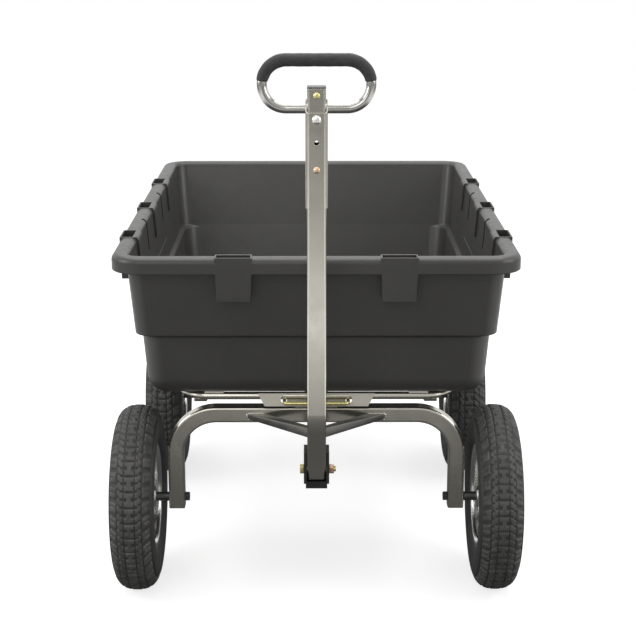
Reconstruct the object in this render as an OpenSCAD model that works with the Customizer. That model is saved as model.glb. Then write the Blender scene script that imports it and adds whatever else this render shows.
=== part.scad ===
// Tipping dump cart: a poly tub on a steel bed frame that tips back over the rear axle,
// on four pneumatic wheels, with a steered front axle and a pull handle that turns into a hitch.
// Millimetres. +Z is up and the front faces -Y. The origin is on the ground, in the middle
// of the cart's outline. Modules are written from the front axle, which lies at axle_y.

/* [Wheels] */
// Outer diameter of a tyre
tyre_d = 406; // [380:1:430]
// Width of a tyre at its widest
tyre_w = 94; // [86:1:104]
// Diameter of the rim's bead seat
bead_d = 206; // [196:1:214]
// Width of the rim over its flanges
rim_w = 76; // [70:1:80]
// Length of the wheel hub
hub_l = 76; // [70:1:84]
// Diameter of the wheel hub
hub_d = 50; // [46:1:56]
// Outer diameter of a wheel bearing
bearing_d = 40; // [36:1:42]
// Diameter of the stub axles
stub_d = 12; // [10:1:16]
// Distance between the middles of the two wheels on an axle
track = 782; // [760:1:820]
// Distance between the front and the rear axle
wheelbase = 729; // [690:1:780]

/* [Axles and chassis] */
// Side of the square axle tube
axle_tube = 35; // [32:1:40]
// Wall of the axle tube
axle_wall = 3; // [2:0.5:4]
// Height of the arch's middle line above the wheel centres
arch_rise = 194; // [184:1:214]
// Middle radius of the arch's bends
arch_bend = 90; // [75:1:105]
// Length of the spacer between an axle leg and its hub
spacer_l = 28; // [22:1:34]
// Width of the chassis spine
spine_w = 50; // [44:1:60]
// Height of the chassis spine
spine_h = 22; // [20:1:28]
// Thickness of the two steering plates
plate_t = 4; // [3:0.5:6]
// Diameter of the kingpin
kingpin_d = 16; // [14:1:20]
// Distance from the arch's middle to the root of a tongue brace
brace_root = 130; // [115:1:150]
// Width of a tongue brace
brace_w = 25; // [22:1:30]

/* [Handle] */
// How far the handle's pivot lies ahead of the front axle
pivot_ahead = 145; // [138:1:160]
// How far the pivot lies below the arch's middle line
pivot_drop = 75; // [64:1:84]
// Side of the square handle tube
handle_w = 38; // [34:1:42]
// Wall of the handle tube
handle_wall = 2.5; // [2:0.5:4]
// Lean of the handle's lowest stretch from upright, in degrees
handle_lean = 36; // [30:1:40]
// Length of the lowest stretch
handle_low = 152; // [140:1:165]
// Length of the upright stretch
handle_up = 525; // [450:1:590]
// Length of the outer sleeve
sleeve_l = 184; // [170:1:220]
// Wall of the outer sleeve
sleeve_wall = 2.5; // [2:0.5:4]
// Diameter of the bolt that the handle swings on
pivot_d = 12; // [10:1:14]
// Diameter of the loop handle's rail
loop_d = 19; // [16:1:22]
// Height between the loop's two rails
loop_h = 91.5; // [80:0.5:110]
// Length of the loop's straight rails
loop_l = 116; // [90:1:140]
// Diameter of the foam grip
grip_d = 25.5; // [24:0.5:32]

/* [Bed] */
// Length of the tub over its rim
tub_l = 1268; // [1230:1:1330]
// Width of the tub over its rim
tub_w = 850; // [830:1:870]
// Height of the tub from floor to rim
tub_h = 313; // [290:1:335]
// Wall of the tub
tub_wall = 4; // [3:0.5:5]
// How far the tub's front rim lies ahead of the front axle
tub_ahead = 128; // [118:1:138]
// Height of the ledge inside the tub
ledge_h = 137; // [120:1:155]
// Width of the ledge
ledge_w = 12; // [8:1:16]
// Radius between the tub's floor and walls
floor_r = 38; // [30:1:44]
// Lean of the tub's rear wall over its height
rear_lean = 74; // [50:1:110]
// Width of a stake pocket's opening
pocket_w = 70; // [60:1:80]
// Depth of a stake pocket
pocket_h = 86; // [70:1:100]
// Distance between the side stake pockets
pocket_pitch = 336; // [300:1:350]
// Diameter of the bed frame's tube
bed_d = 17; // [16:1:20]
// Distance from the middle to a side rail of the bed frame
rail_x = 290; // [270:1:300]
// How far the tipping hinge lies behind the rear axle
hinge_behind = 100; // [90:1:120]
// Diameter of the hinge bolts
hinge_d = 12; // [10:1:14]

/* [Latch] */
// Width of the latch plate at its top
latch_w = 250; // [230:1:270]
// Length of the release loop
release_l = 150; // [130:1:160]
// Height of the release loop
release_h = 22; // [20:1:24]
// Diameter of the release loop's rod
release_d = 5; // [4:0.5:6]

/* [Hidden] */
$fn = 64;

// Clearances: a turning fit, a gap between parts that move, and a loose fit
turn_fit = 0.05;
move_gap = 0.3;
loose_fit = 0.5;
// Overshoot of a cutting solid past the face that it cuts
cut = 1;

// Colours
steel = [0.56, 0.55, 0.52];
dark_steel = [0.2, 0.2, 0.2];
light_steel = [0.66, 0.64, 0.6];
zinc_yellow = [0.78, 0.68, 0.36];
copper = [0.76, 0.55, 0.4];
bright = [0.85, 0.85, 0.82];
poly = [0.23, 0.23, 0.225];
rubber = [0.2, 0.2, 0.2];

// Heights of the running gear
wheel_r = tyre_d / 2;
axle_z = wheel_r;
arch_z = axle_z + arch_rise;
arch_top = arch_z + axle_tube / 2;
arch_corner = 5;
thrust_t = 2;
head_plate_z = arch_top + plate_t + thrust_t + move_gap;
spine_z = head_plate_z + plate_t;
spine_top = spine_z + spine_h;
spine_wall = 3;
nut_h = 7;
floor_space = 3;
floor_z = spine_top + nut_h + floor_space;

// Stub axles and hubs, as distances from the middle of the cart
hub_in = track / 2 - hub_l / 2;
hub_out = track / 2 + hub_l / 2;
leg_out = hub_in - move_gap - spacer_l;
leg_in = leg_out - axle_tube;
leg_x = leg_out - axle_tube / 2;
leg_below = 22;
rear_leg_below = 14;
stub_head = 10;
washer_t = 2;
wheel_nut = 10;
stub_tail = 3;
spacer_d = stub_d + 8;
hex_ratio = 1.5;
bearing_w = 12;
hub_wall_mid = 8;

// Rim and tyre
bead_r = bead_d / 2;
rim_t = 3;
flange_h = 10;
bead_seat = 15;
well_drop = 15;
well_slope = 8;
disc_t = 4;
valve_d = 8;
valve_l = 14;
tyre_side = 8;
tyre_crown = 14;
tyre_power = 2.5;
tread_groove = 5;
tread_grooves = [-0.24, 0.24];
curve_steps = 30;

// Steering head
steer_plate = [90, 40];
head_front = 20;
head_back = 50;
head_w = 90;
nose_w = 36;
nose_gap = 14;
thrust_d = 40;
bush_wall = 5;
kingpin_head = 10;
kingpin_hex = kingpin_d * hex_ratio;

// Rear hinge
hinge_y = wheelbase + hinge_behind;
hinge_drop = 43;
hinge_z = floor_z - hinge_drop;
hinge_x = 170;
lug_t = 12;
lug_r = 16;
ear_r = 18;
ear_plate = 5;
hinge_head = 7;

// Tongue and clevis
pivot_y = -pivot_ahead;
pivot_z = arch_z - pivot_drop;
brace_h = 22;
brace_drop = 18;
brace_z = arch_z - brace_drop;
clevis_side = 1;
clevis_ear = 6.5;
clevis_in = handle_w / 2 + clevis_side;
clevis_out = clevis_in + clevis_ear;
clevis_back = 5;
web_t = 6;
web_front = pivot_y + handle_w / 2 + clevis_back;
web_back = web_front + web_t;
web_w = handle_w - 4;
ear_ahead = 20;
ear_up = 43;
ear_down = 26;
foot_ahead = 8;
ear_front = pivot_y - ear_ahead;
ear_top = pivot_z + ear_up;
ear_low = pivot_z - ear_down;
foot_front = pivot_y - foot_ahead;
clevis_foot = 15;
clevis_hex = pivot_d * hex_ratio;
clevis_bolt_head = 8;
clevis_nut_h = 10;
clevis_tail = 4;

// Handle
handle_corner = 5;
handle_bend = 60;
handle_end = 13;
bend_lap = 0.5;
bend_over = 0.04;
low_dy = handle_low * sin(handle_lean) + handle_bend * (1 - cos(handle_lean));
low_dz = handle_low * cos(handle_lean) + handle_bend * sin(handle_lean);
up_y = pivot_y - low_dy;
up_z = pivot_z + low_dz;
tube_top = up_z + handle_up;
sleeve_lap = 106;
sleeve_w = handle_w + 2 * sleeve_wall;
sleeve_z = tube_top - sleeve_lap;
sleeve_top = sleeve_z + sleeve_l;
sleeve_corner = handle_corner + sleeve_wall;
ear_rise = 22;
ear_slant = 11;
head_w2 = handle_w - 2;
head_wall = 3;
head_in = 43;
head_out = 45;
head_cap = 3;
pin_d = 12;
pin_up = 32;
pin_head = 4;
pin_head_d = 13;
head_bolt_d = 8;
head_bolt_head = 19;
head_bolt_h = 6.5;
head_bolt_down = 13;
hole_d = 9.5;
hole_down = 57;
sleeve_bolt_d = 8;
sleeve_bolt_head = 13.5;
sleeve_bolt_h = 5;
sleeve_bolt_down = 109;
nut_thin = 5;

// Loop handle, hinged on its lower rail
loop_y = up_y;
loop_z = sleeve_top + 6;
loop_r = loop_h / 2;
loop_wall = 2;
grip_end = 6;

// Tub
rim_over = 32;
rim_h = 32;
rim_round = 12;
rim_in = 12;
rim_z = floor_z + tub_h;
wall_top = rim_z - rim_h;
wall_x = tub_w / 2 - rim_over;
tub_front = -tub_ahead;
tub_rear = tub_front + tub_l;
wall_f = tub_front + rim_over;
wall_r = tub_rear - rim_over;
ledge_z = floor_z + ledge_h;
ledge_drop = 5;
draft_up = 12;
draft_low = 7;
corner_r = 46;
low_corner_r = 72;
corner_steps = 8;
round_steps = 5;
floor_steps = 6;

// Stake pockets
pocket_wall = 3.5;
pocket_deep = 25;
pocket_taper = 4;
pocket_proud = 1.5;
pocket_bump = 1;
pocket_x = 170;
pocket_first = 244;
pocket_sides = [0, 1, 2];
swell = 5.5;
swell_top = 14;
swell_h = 68;
seam_w = 6;
seam_d = 1.7;
seam_l = 73;

// Bed frame
bar_y = -36;
bed_z = floor_z - bed_d / 2;
bed_bend = 60;
bed_wall = 2;
tab_w = 41;
tab_x = 219;
tab_t = 4;
tab_reach = 44;
tab_l = 36;
bolt_d = 8;
bolt_head = 20;
bolt_head_h = 3;
bolt_front = 110;
bolt_rear = 40;
bolt_ys = [bolt_front, wheelbase - bolt_rear];

// Latch
plate_thick = 3;
plate_y = bar_y - bed_d / 2 - plate_thick;
plate_down = 21;
plate_up = 8;
plate_low = bed_z - plate_down;
plate_high = bed_z + plate_up;
plate_taper = 14;
slot_gap = 1.2;
release_drop = 6;
release_ahead = 3.5;
release_z = bed_z - release_drop;
release_y = plate_y - release_ahead;
tongue_w = 22;
tongue_t = 4.4;
tongue_z = release_z - release_h / 2 + release_d / 2;
tongue_reach = 20;
tongue_end = bar_y + tongue_reach;
lug_w = 10;
lug_thick = 3;
lug_back = 12;
lug_y = bar_y + lug_back;
spring_d = 8;
spring_wire = 1.2;
spring_drop = 5;
spring_z = tongue_z - tongue_t / 2 - spring_drop;
spring_turns = 6;
spring_front = plate_y + plate_thick;
spring_back = lug_y - lug_thick / 2;
tab_half = 9;
catch_t = 5.5;
catch_in = 12.5;
catch_ahead = 8;
catch_front = bar_y - catch_ahead;
catch_lip = 10;
catch_lip_t = 4;
spine_back = 22;
spine_front = bar_y + spine_back;
nose_front = -catch_front;

// The cart's reach ahead of and behind the front axle, and the axle's place
front_reach = up_y - sleeve_w / 2 - head_bolt_h;
axle_y = -(front_reach + tub_rear) / 2;

echo(axle_y = axle_y, hinge = [hinge_y + axle_y, hinge_z], pivot = [pivot_y + axle_y, pivot_z]);
echo(loop = [loop_y + axle_y, loop_z], axle_z = axle_z, rear_y = wheelbase + axle_y, rim_z = rim_z);
echo(floor_z = floor_z, hole = [up_y + axle_y, sleeve_top - hole_down], spring_z = spring_z);

module from_axle() {
    translate([0, axle_y, 0]) children();
}

module both_sides() {
    children();
    mirror([1, 0, 0]) children();
}

module along_x(x, y, z) {
    translate([x, y, z]) rotate([0, 90, 0]) children();
}

module along_y(x, y, z) {
    translate([x, y, z]) rotate([-90, 0, 0]) children();
}

module hex(across, h) {
    cylinder(d = across / cos(30), h = h, $fn = 6);
}

module rounded_square(w, r) {
    square([w - 2 * r, w], center = true);
    square([w, w - 2 * r], center = true);
    for (x = [-1, 1], y = [-1, 1]) {
        translate([x * (w / 2 - r), y * (w / 2 - r)]) circle(r);
    }
}

module square_tube_profile(w, wall, r) {
    difference() {
        rounded_square(w, r);
        rounded_square(w - 2 * wall, r - wall);
    }
}

// A round tube profile
module ring_profile(d, wall) {
    difference() {
        circle(d = d);
        circle(d = d - 2 * wall);
    }
}

// Axle arch, its middle line in the plane y = 0, for either axle
module axle_arch(pin_bore, below) {
    leg_l = arch_rise - arch_bend + below;
    difference() {
        union() {
            both_sides() {
                translate([leg_x, 0, axle_z - below])
                    linear_extrude(leg_l) square_tube_profile(axle_tube, axle_wall, arch_corner);
                translate([leg_x - arch_bend, 0, arch_z - arch_bend])
                    rotate([90, 0, 0])
                    rotate_extrude(angle = 90)
                    translate([arch_bend, 0]) square_tube_profile(axle_tube, axle_wall, arch_corner);
            }
            along_x(-(leg_x - arch_bend), 0, arch_z)
                linear_extrude(2 * (leg_x - arch_bend))
                square_tube_profile(axle_tube, axle_wall, arch_corner);
        }
        both_sides() {
            along_x(leg_in - cut, 0, axle_z) cylinder(d = stub_d + 2 * turn_fit, h = axle_tube + 2 * cut);
        }
        if (pin_bore > 0) {
            translate([0, 0, arch_z - axle_tube]) cylinder(d = pin_bore, h = 2 * axle_tube);
        }
    }
}

// Stub axle bolts of one axle, heads on the inside of the legs
module stub_axles() {
    shank = hub_out + move_gap + washer_t + wheel_nut + stub_tail - leg_in;
    both_sides() {
        along_x(leg_in - stub_head, 0, axle_z) hex(stub_d * hex_ratio, stub_head);
        along_x(leg_in, 0, axle_z) cylinder(d = stub_d, h = shank);
    }
}

module axle_spacers() {
    both_sides() {
        along_x(leg_out, 0, axle_z)
            difference() {
                cylinder(d = spacer_d, h = spacer_l);
                translate([0, 0, -cut]) cylinder(d = stub_d + 2 * turn_fit, h = spacer_l + 2 * cut);
            }
    }
}

module wheel_nuts() {
    both_sides() {
        along_x(hub_out + move_gap, 0, axle_z)
            difference() {
                cylinder(d = stub_d * 1.9, h = washer_t);
                translate([0, 0, -cut]) cylinder(d = stub_d + 2 * turn_fit, h = washer_t + 2 * cut);
            }
        along_x(hub_out + move_gap + washer_t, 0, axle_z)
            difference() {
                hex(stub_d * hex_ratio, wheel_nut);
                translate([0, 0, -cut]) cylinder(d = stub_d + 2 * turn_fit, h = wheel_nut + 2 * cut);
            }
    }
}

// Chassis

module spine_beam() {
    color(steel) from_axle() difference() {
        translate([-spine_w / 2, spine_front, spine_z])
            cube([spine_w, wheelbase + axle_tube / 2 - spine_front, spine_h]);
        translate([-spine_w / 2 + spine_wall, spine_front - cut, spine_z + spine_wall])
            cube([spine_w - 2 * spine_wall, wheelbase + axle_tube - spine_front + 2 * cut, spine_h - 2 * spine_wall]);
        translate([0, 0, spine_z - cut]) cylinder(d = kingpin_d + 2 * turn_fit, h = spine_h + 2 * cut);
    }
}

// Head plate under the spine, with a forked nose that carries the latch catch
module head_plate() {
    color(steel) from_axle() difference() {
        union() {
            translate([-head_w / 2, -head_front, head_plate_z]) cube([head_w, head_front + head_back, plate_t]);
            translate([-nose_w / 2, -nose_front, head_plate_z]) cube([nose_w, nose_front, plate_t]);
        }
        translate([0, 0, head_plate_z - cut]) cylinder(d = kingpin_d + 2 * turn_fit, h = plate_t + 2 * cut);
        translate([-nose_gap / 2, -nose_front - cut, head_plate_z - cut])
            cube([nose_gap, nose_front - head_front + cut, plate_t + 2 * cut]);
    }
}

module kingpin() {
    under = arch_z - axle_tube / 2 - move_gap;
    color(dark_steel) from_axle() {
        translate([0, 0, under - kingpin_head]) hex(kingpin_hex, kingpin_head);
        translate([0, 0, under]) cylinder(d = kingpin_d, h = spine_top + nut_h + 2 - under);
    }
}

module kingpin_nut() {
    color(zinc_yellow) from_axle() translate([0, 0, spine_top]) difference() {
        hex(kingpin_hex, nut_h);
        translate([0, 0, -cut]) cylinder(d = kingpin_d + 2 * turn_fit, h = nut_h + 2 * cut);
    }
}

module rear_saddle() {
    color(steel) from_axle()
        translate([-spine_w / 2, wheelbase - axle_tube / 2, arch_top])
        cube([spine_w, axle_tube, spine_z - arch_top]);
}

module rear_axle_arch() {
    color(steel) from_axle() translate([0, wheelbase, 0]) axle_arch(0, rear_leg_below);
}

module rear_stub_axles() {
    color(dark_steel) from_axle() translate([0, wheelbase, 0]) stub_axles();
}

module rear_spacers() {
    color(dark_steel) from_axle() translate([0, wheelbase, 0]) axle_spacers();
}

module rear_wheel_nuts() {
    color(bright) from_axle() translate([0, wheelbase, 0]) wheel_nuts();
}

// One hinge ear: an arm from the rear arch's back face, round about the hinge bolt
module hinge_ear(x) {
    back = wheelbase + axle_tube / 2;
    along_x(x, 0, 0) linear_extrude(ear_plate) difference() {
        union() {
            translate([-hinge_z, hinge_y]) circle(ear_r);
            polygon([
                [-arch_top, back], [-(arch_z - axle_tube / 2), back],
                [-(hinge_z - ear_r), hinge_y], [-(hinge_z + ear_r), hinge_y]
            ]);
        }
        translate([-hinge_z, hinge_y]) circle(d = hinge_d + 2 * turn_fit);
    }
}

module hinge_brackets() {
    color(steel) from_axle() both_sides() {
        hinge_ear(hinge_x - lug_t / 2 - loose_fit - ear_plate);
        hinge_ear(hinge_x + lug_t / 2 + loose_fit);
    }
}

// Hinge bolts with their nuts
module hinge_bolts() {
    half = lug_t / 2 + loose_fit + ear_plate;
    across = hinge_d * hex_ratio;
    color(zinc_yellow) from_axle() both_sides() {
        along_x(hinge_x - half - hinge_head, hinge_y, hinge_z) hex(across, hinge_head);
        along_x(hinge_x - half, hinge_y, hinge_z) cylinder(d = hinge_d, h = 2 * half + nut_h + 3);
        along_x(hinge_x + half, hinge_y, hinge_z) difference() {
            hex(across, nut_h);
            translate([0, 0, -cut]) cylinder(d = hinge_d + 2 * turn_fit, h = nut_h + 2 * cut);
        }
    }
}

// Catch on the head plate: two cheeks that carry the bed's front bar, and a lip over the tongue
module latch_catch() {
    rest = bed_z - bed_d / 2 - move_gap;
    lip_z = tongue_z + tongue_t / 2 + 1.5;
    color(dark_steel) from_axle() {
        both_sides() {
            translate([catch_in, catch_front, spine_z])
                cube([catch_t, spine_front - catch_front, rest - spine_z]);
        }
        translate([-catch_in - catch_t, spine_front - catch_lip, lip_z])
            cube([2 * (catch_in + catch_t), catch_lip, catch_lip_t]);
    }
}

// Front axle

module front_axle_arch() {
    color(steel) from_axle() axle_arch(kingpin_d + 2 * turn_fit, leg_below);
}

module steering_plate() {
    color(steel) from_axle() translate([0, 0, arch_top]) difference() {
        translate([-steer_plate[0] / 2, -steer_plate[1] / 2, 0]) cube([steer_plate[0], steer_plate[1], plate_t]);
        translate([0, 0, -cut]) cylinder(d = kingpin_d + 2 * turn_fit, h = plate_t + 2 * cut);
    }
}

module thrust_washer() {
    color(bright) from_axle() translate([0, 0, arch_top + plate_t]) difference() {
        cylinder(d = thrust_d, h = thrust_t);
        translate([0, 0, -cut]) cylinder(d = kingpin_d + 2 * turn_fit, h = thrust_t + 2 * cut);
    }
}

module kingpin_bush() {
    inside = axle_tube - 2 * axle_wall;
    color(bright) from_axle() translate([0, 0, arch_z - inside / 2]) difference() {
        cylinder(d = kingpin_d + 2 * turn_fit + 2 * bush_wall, h = inside);
        translate([0, 0, -cut]) cylinder(d = kingpin_d + 2 * turn_fit, h = inside + 2 * cut);
    }
}

// Tongue braces: a V from the arch's front face to the clevis web
module tongue_braces() {
    front = -axle_tube / 2;
    tip = web_back;
    reach = brace_root - brace_w / 2;
    turn = atan2(tip - front, -reach);
    color(steel) from_axle() both_sides() difference() {
        translate([brace_root, front, brace_z])
            rotate([0, 0, turn])
            translate([-2 * brace_w, -brace_w / 2, 0])
            cube([reach + 6 * brace_w, brace_w, brace_h]);
        translate([-brace_root, front, brace_z - brace_h]) cube([4 * brace_root, 4 * brace_root, 3 * brace_h]);
        translate([-brace_root, tip - 4 * brace_root, brace_z - brace_h])
            cube([4 * brace_root, 4 * brace_root, 3 * brace_h]);
        translate([-4 * brace_root, tip - brace_root, brace_z - brace_h])
            cube([4 * brace_root, 4 * brace_root, 3 * brace_h]);
    }
}

// Clevis: a web behind the handle tube, two ears beside it and a foot below it
module handle_clevis() {
    color(dark_steel) from_axle() difference() {
        union() {
            translate([-web_w / 2, web_front, ear_low]) cube([web_w, web_t, brace_z + brace_h - ear_low]);
            translate([-clevis_out, web_front, ear_low - clevis_foot])
                cube([2 * clevis_out, web_t, ear_top - ear_low + clevis_foot]);
            both_sides() {
                translate([clevis_in, ear_front, ear_low]) cube([clevis_ear, web_front - ear_front, ear_top - ear_low]);
            }
            translate([-clevis_out + 4, foot_front, ear_low - clevis_foot])
                cube([2 * clevis_out - 8, web_front - foot_front, clevis_foot]);
            translate([-clevis_out, foot_front, ear_low - 2])
                cube([2 * clevis_out, web_front - foot_front, 2]);
        }
        along_x(-clevis_out - cut, pivot_y, pivot_z)
            cylinder(d = pivot_d + 2 * turn_fit, h = 2 * clevis_out + 2 * cut);
    }
}

module clevis_bolt() {
    color(zinc_yellow) from_axle() {
        along_x(-clevis_out - clevis_bolt_head, pivot_y, pivot_z) hex(clevis_hex, clevis_bolt_head);
        along_x(-clevis_out, pivot_y, pivot_z)
            cylinder(d = pivot_d, h = 2 * clevis_out + clevis_nut_h + clevis_tail);
    }
}

module clevis_nut() {
    color(copper) from_axle() along_x(clevis_out, pivot_y, pivot_z) difference() {
        hex(clevis_hex, clevis_nut_h);
        translate([0, 0, -cut]) cylinder(d = pivot_d + 2 * turn_fit, h = clevis_nut_h + 2 * cut);
    }
}

module front_stub_axles() {
    color(dark_steel) from_axle() stub_axles();
}

module front_spacers() {
    color(dark_steel) from_axle() axle_spacers();
}

module front_wheel_nuts() {
    color(bright) from_axle() wheel_nuts();
}

// Handle

// The bend is a hair wider than the straight stretches, which run a little way into it
module handle_tube() {
    color(steel) from_axle() difference() {
        union() {
            translate([0, pivot_y, pivot_z]) rotate([handle_lean, 0, 0]) translate([0, 0, -handle_end])
                linear_extrude(handle_end + handle_low + bend_lap)
                square_tube_profile(handle_w, handle_wall, handle_corner);
            translate([0, up_y + handle_bend, up_z])
                rotate([0, 90, 0])
                rotate([0, 0, -90])
                rotate_extrude(angle = handle_lean)
                translate([handle_bend, 0])
                square_tube_profile(handle_w + bend_over, handle_wall + bend_over, handle_corner);
            translate([0, up_y, up_z - bend_lap])
                linear_extrude(bend_lap + handle_up) square_tube_profile(handle_w, handle_wall, handle_corner);
        }
        along_x(-handle_w, pivot_y, pivot_z) cylinder(d = pivot_d + 2 * turn_fit, h = 2 * handle_w);
        along_y(0, up_y - handle_w, sleeve_top - sleeve_bolt_down)
            cylinder(d = sleeve_bolt_d + 2 * turn_fit, h = 2 * handle_w);
    }
}

// Outer sleeve, its front wall cut low and its sides left as ears for the loop's rail
module handle_sleeve() {
    half = sleeve_w / 2;
    color(steel) from_axle() difference() {
        translate([0, up_y, sleeve_z])
            linear_extrude(sleeve_l + ear_rise)
            square_tube_profile(sleeve_w, sleeve_wall, sleeve_corner);
        along_x(-sleeve_w, 0, 0) linear_extrude(2 * sleeve_w) polygon([
            [-sleeve_top, up_y - half - cut], [-sleeve_top, up_y - half + sleeve_wall],
            [-sleeve_top - ear_rise - cut, up_y - half + sleeve_wall + ear_slant],
            [-sleeve_top - ear_rise - cut, up_y - half - cut]
        ]);
        along_x(-sleeve_w, loop_y, loop_z) cylinder(d = loop_d + 2 * turn_fit, h = 2 * sleeve_w);
        along_y(0, up_y - sleeve_w, sleeve_top - head_bolt_down)
            cylinder(d = head_bolt_d + 2 * turn_fit, h = 2 * sleeve_w);
        along_y(0, up_y - sleeve_w, sleeve_top - hole_down) cylinder(d = hole_d, h = 2 * sleeve_w);
        along_y(0, up_y - sleeve_w, sleeve_top - sleeve_bolt_down)
            cylinder(d = sleeve_bolt_d + 2 * turn_fit, h = 2 * sleeve_w);
    }
}

// Inner head: the hitch that the folded loop frees
module hitch_head() {
    color(steel) from_axle() difference() {
        translate([0, up_y, sleeve_top - head_in])
            linear_extrude(head_in + head_out) square_tube_profile(head_w2, head_wall, handle_corner);
        along_x(-sleeve_w, loop_y, loop_z) cylinder(d = loop_d + 2 * turn_fit, h = 2 * sleeve_w);
        along_y(0, up_y - sleeve_w, sleeve_top - head_bolt_down)
            cylinder(d = head_bolt_d + 2 * turn_fit, h = 2 * sleeve_w);
        along_y(0, up_y - sleeve_w, sleeve_top + pin_up) cylinder(d = pin_d + 2 * turn_fit, h = 2 * sleeve_w);
    }
}

module hitch_head_cap() {
    inner = head_w2 - 2 * head_wall;
    color(dark_steel) from_axle() translate([0, up_y, sleeve_top + head_out]) {
        linear_extrude(head_cap) rounded_square(head_w2, handle_corner);
        translate([0, 0, -2 * head_cap]) linear_extrude(2 * head_cap)
            rounded_square(inner, handle_corner - head_wall);
    }
}

// A bolt through a square tube along Y, with a round head in front and a nut behind
module cross_bolt(z, across, d, head_d, head_h, tail) {
    front = up_y - across / 2;
    along_y(0, front - head_h, z) cylinder(d = head_d, h = head_h);
    along_y(0, front, z) cylinder(d = d, h = across + tail);
    along_y(0, front + across, z) difference() {
        hex(d * hex_ratio, tail);
        translate([0, 0, -cut]) cylinder(d = d, h = tail + 2 * cut);
    }
}

module hitch_pin() {
    color(zinc_yellow) from_axle()
        cross_bolt(sleeve_top + pin_up, head_w2, pin_d, pin_head_d, pin_head, pin_head);
}

module head_bolt() {
    color(bright) from_axle()
        cross_bolt(sleeve_top - head_bolt_down, sleeve_w, head_bolt_d, head_bolt_head, head_bolt_h, nut_thin);
}

module sleeve_bolt() {
    color(copper) from_axle()
        cross_bolt(sleeve_top - sleeve_bolt_down, sleeve_w, sleeve_bolt_d, sleeve_bolt_head, sleeve_bolt_h, nut_thin);
}

// Loop handle

// A tube bent to a closed loop in the plane of the handle, with two straight runs
module loop_tube(d, wall) {
    translate([0, loop_y, loop_z + loop_r]) rotate([90, 0, 0]) {
        for (s = [-1, 1]) {
            translate([-loop_l / 2, s * loop_r, 0]) rotate([0, 90, 0])
                linear_extrude(loop_l) ring_profile(d, wall);
            translate([s * loop_l / 2, 0, 0]) rotate([0, 0, -90 * s])
                rotate_extrude(angle = 180) translate([loop_r, 0]) ring_profile(d, wall);
        }
    }
}

module loop_rail() {
    color(light_steel) from_axle() loop_tube(loop_d, loop_wall);
}

// Foam grip over the top rail and the upper part of both bends
module loop_grip() {
    reach = loop_l + loop_h + 2 * grip_d;
    color(rubber) from_axle() difference() {
        loop_tube(grip_d, (grip_d - loop_d) / 2);
        translate([-reach / 2, loop_y - grip_d, loop_z - grip_d])
            cube([reach, 2 * grip_d, loop_r + grip_d + grip_end]);
    }
}

// Tub

// One ring of the tub's skin: half width, front and rear edge, corner radius and height
function tub_ring(hx, yf, yr, r, z) = [
    for (c = [[1, 1, 0], [-1, 1, 90], [-1, -1, 180], [1, -1, 270]])
        for (i = [0:corner_steps])
            let (a = c[2] + 90 * i / corner_steps, y = c[1] > 0 ? yr - r : yf + r)
                [c[0] * (hx - r) + r * cos(a), y + r * sin(a), z]
];

// How far the rear wall has come forward at a height
function rear_in(z) = rear_lean * (wall_top - z) / (wall_top - floor_z);

// A ring that stands in from the top wall by side_in, and by extra on the rear wall too
function wall_ring(side_in, extra, r, z) =
    tub_ring(wall_x - side_in, wall_f + side_in, wall_r - rear_in(z) - extra, r, z);

// The wall's skin from the floor up; t is the distance in from the outer skin
function wall_rings(t) = concat(
    [for (i = [0:floor_steps])
        let (a = 90 * (1 - i / floor_steps), r = floor_r - t, e = r * (1 - cos(a)))
            wall_ring(draft_up + ledge_w + draft_low + t + e, t + e, max(low_corner_r - t - e, 6),
                floor_z + floor_r - r * sin(a))],
    [
        wall_ring(draft_up + ledge_w + t, t, low_corner_r - t, ledge_z - ledge_drop + t),
        wall_ring(draft_up + t, t, corner_r - t, ledge_z + t),
        wall_ring(t, t, corner_r - t, wall_top)
    ]
);

// A ring of the rim, at an offset outside the top wall
function rim_ring(o, z) = tub_ring(wall_x + o, wall_f - o, wall_r + o, corner_r + o, z);

tub_rings = concat(
    wall_rings(0),
    [for (i = [0:round_steps])
        let (a = 90 * i / round_steps, r = rim_in - tub_wall)
            rim_ring(r * (1 - cos(a)), rim_z - rim_in + r * sin(a))],
    [
        rim_ring(rim_over - tub_wall, rim_z - tub_wall - 2),
        rim_ring(rim_over - tub_wall, wall_top), rim_ring(rim_over, wall_top)
    ],
    [for (i = [0:round_steps])
        let (a = 90 * i / round_steps)
            rim_ring(rim_over - rim_round * (1 - cos(a)), rim_z - rim_round + rim_round * sin(a))],
    [for (i = [0:round_steps])
        let (a = 90 - 90 * i / round_steps)
            rim_ring(rim_in - tub_wall - rim_in * cos(a), rim_z - rim_in + rim_in * sin(a))],
    [for (r = [len(wall_rings(0)) - 2:-1:0]) wall_rings(tub_wall)[r]]
);

module tub_skin() {
    n = 4 * (corner_steps + 1);
    rings = len(tub_rings);
    polyhedron(
        points = [for (r = tub_rings) for (p = r) p],
        faces = concat(
            [[for (i = [0:n - 1]) i]],
            [for (k = [0:rings - 2]) for (i = [0:n - 1])
                [k * n + i, (k + 1) * n + i, (k + 1) * n + (i + 1) % n, k * n + (i + 1) % n]],
            [[for (i = [n - 1:-1:0]) (rings - 1) * n + i]]
        )
    );
}

// How far the inner wall's face lies inside the top wall's outer line at a height
function wall_in(z) =
    tub_wall + draft_up * max(0, rim_z - rim_in - z) / (rim_z - rim_in - ledge_z - tub_wall);

// A point on the rim's inner roll: distance in and height, at a radius and an angle
function roll(r, a) = [tub_wall - rim_in + r * cos(a), rim_z - rim_in + r * sin(a)];

// Draws a (distance in, height) profile out along the wall
module along_wall(wide) {
    rotate([90, 0, 90]) linear_extrude(wide, center = true) children();
}

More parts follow.
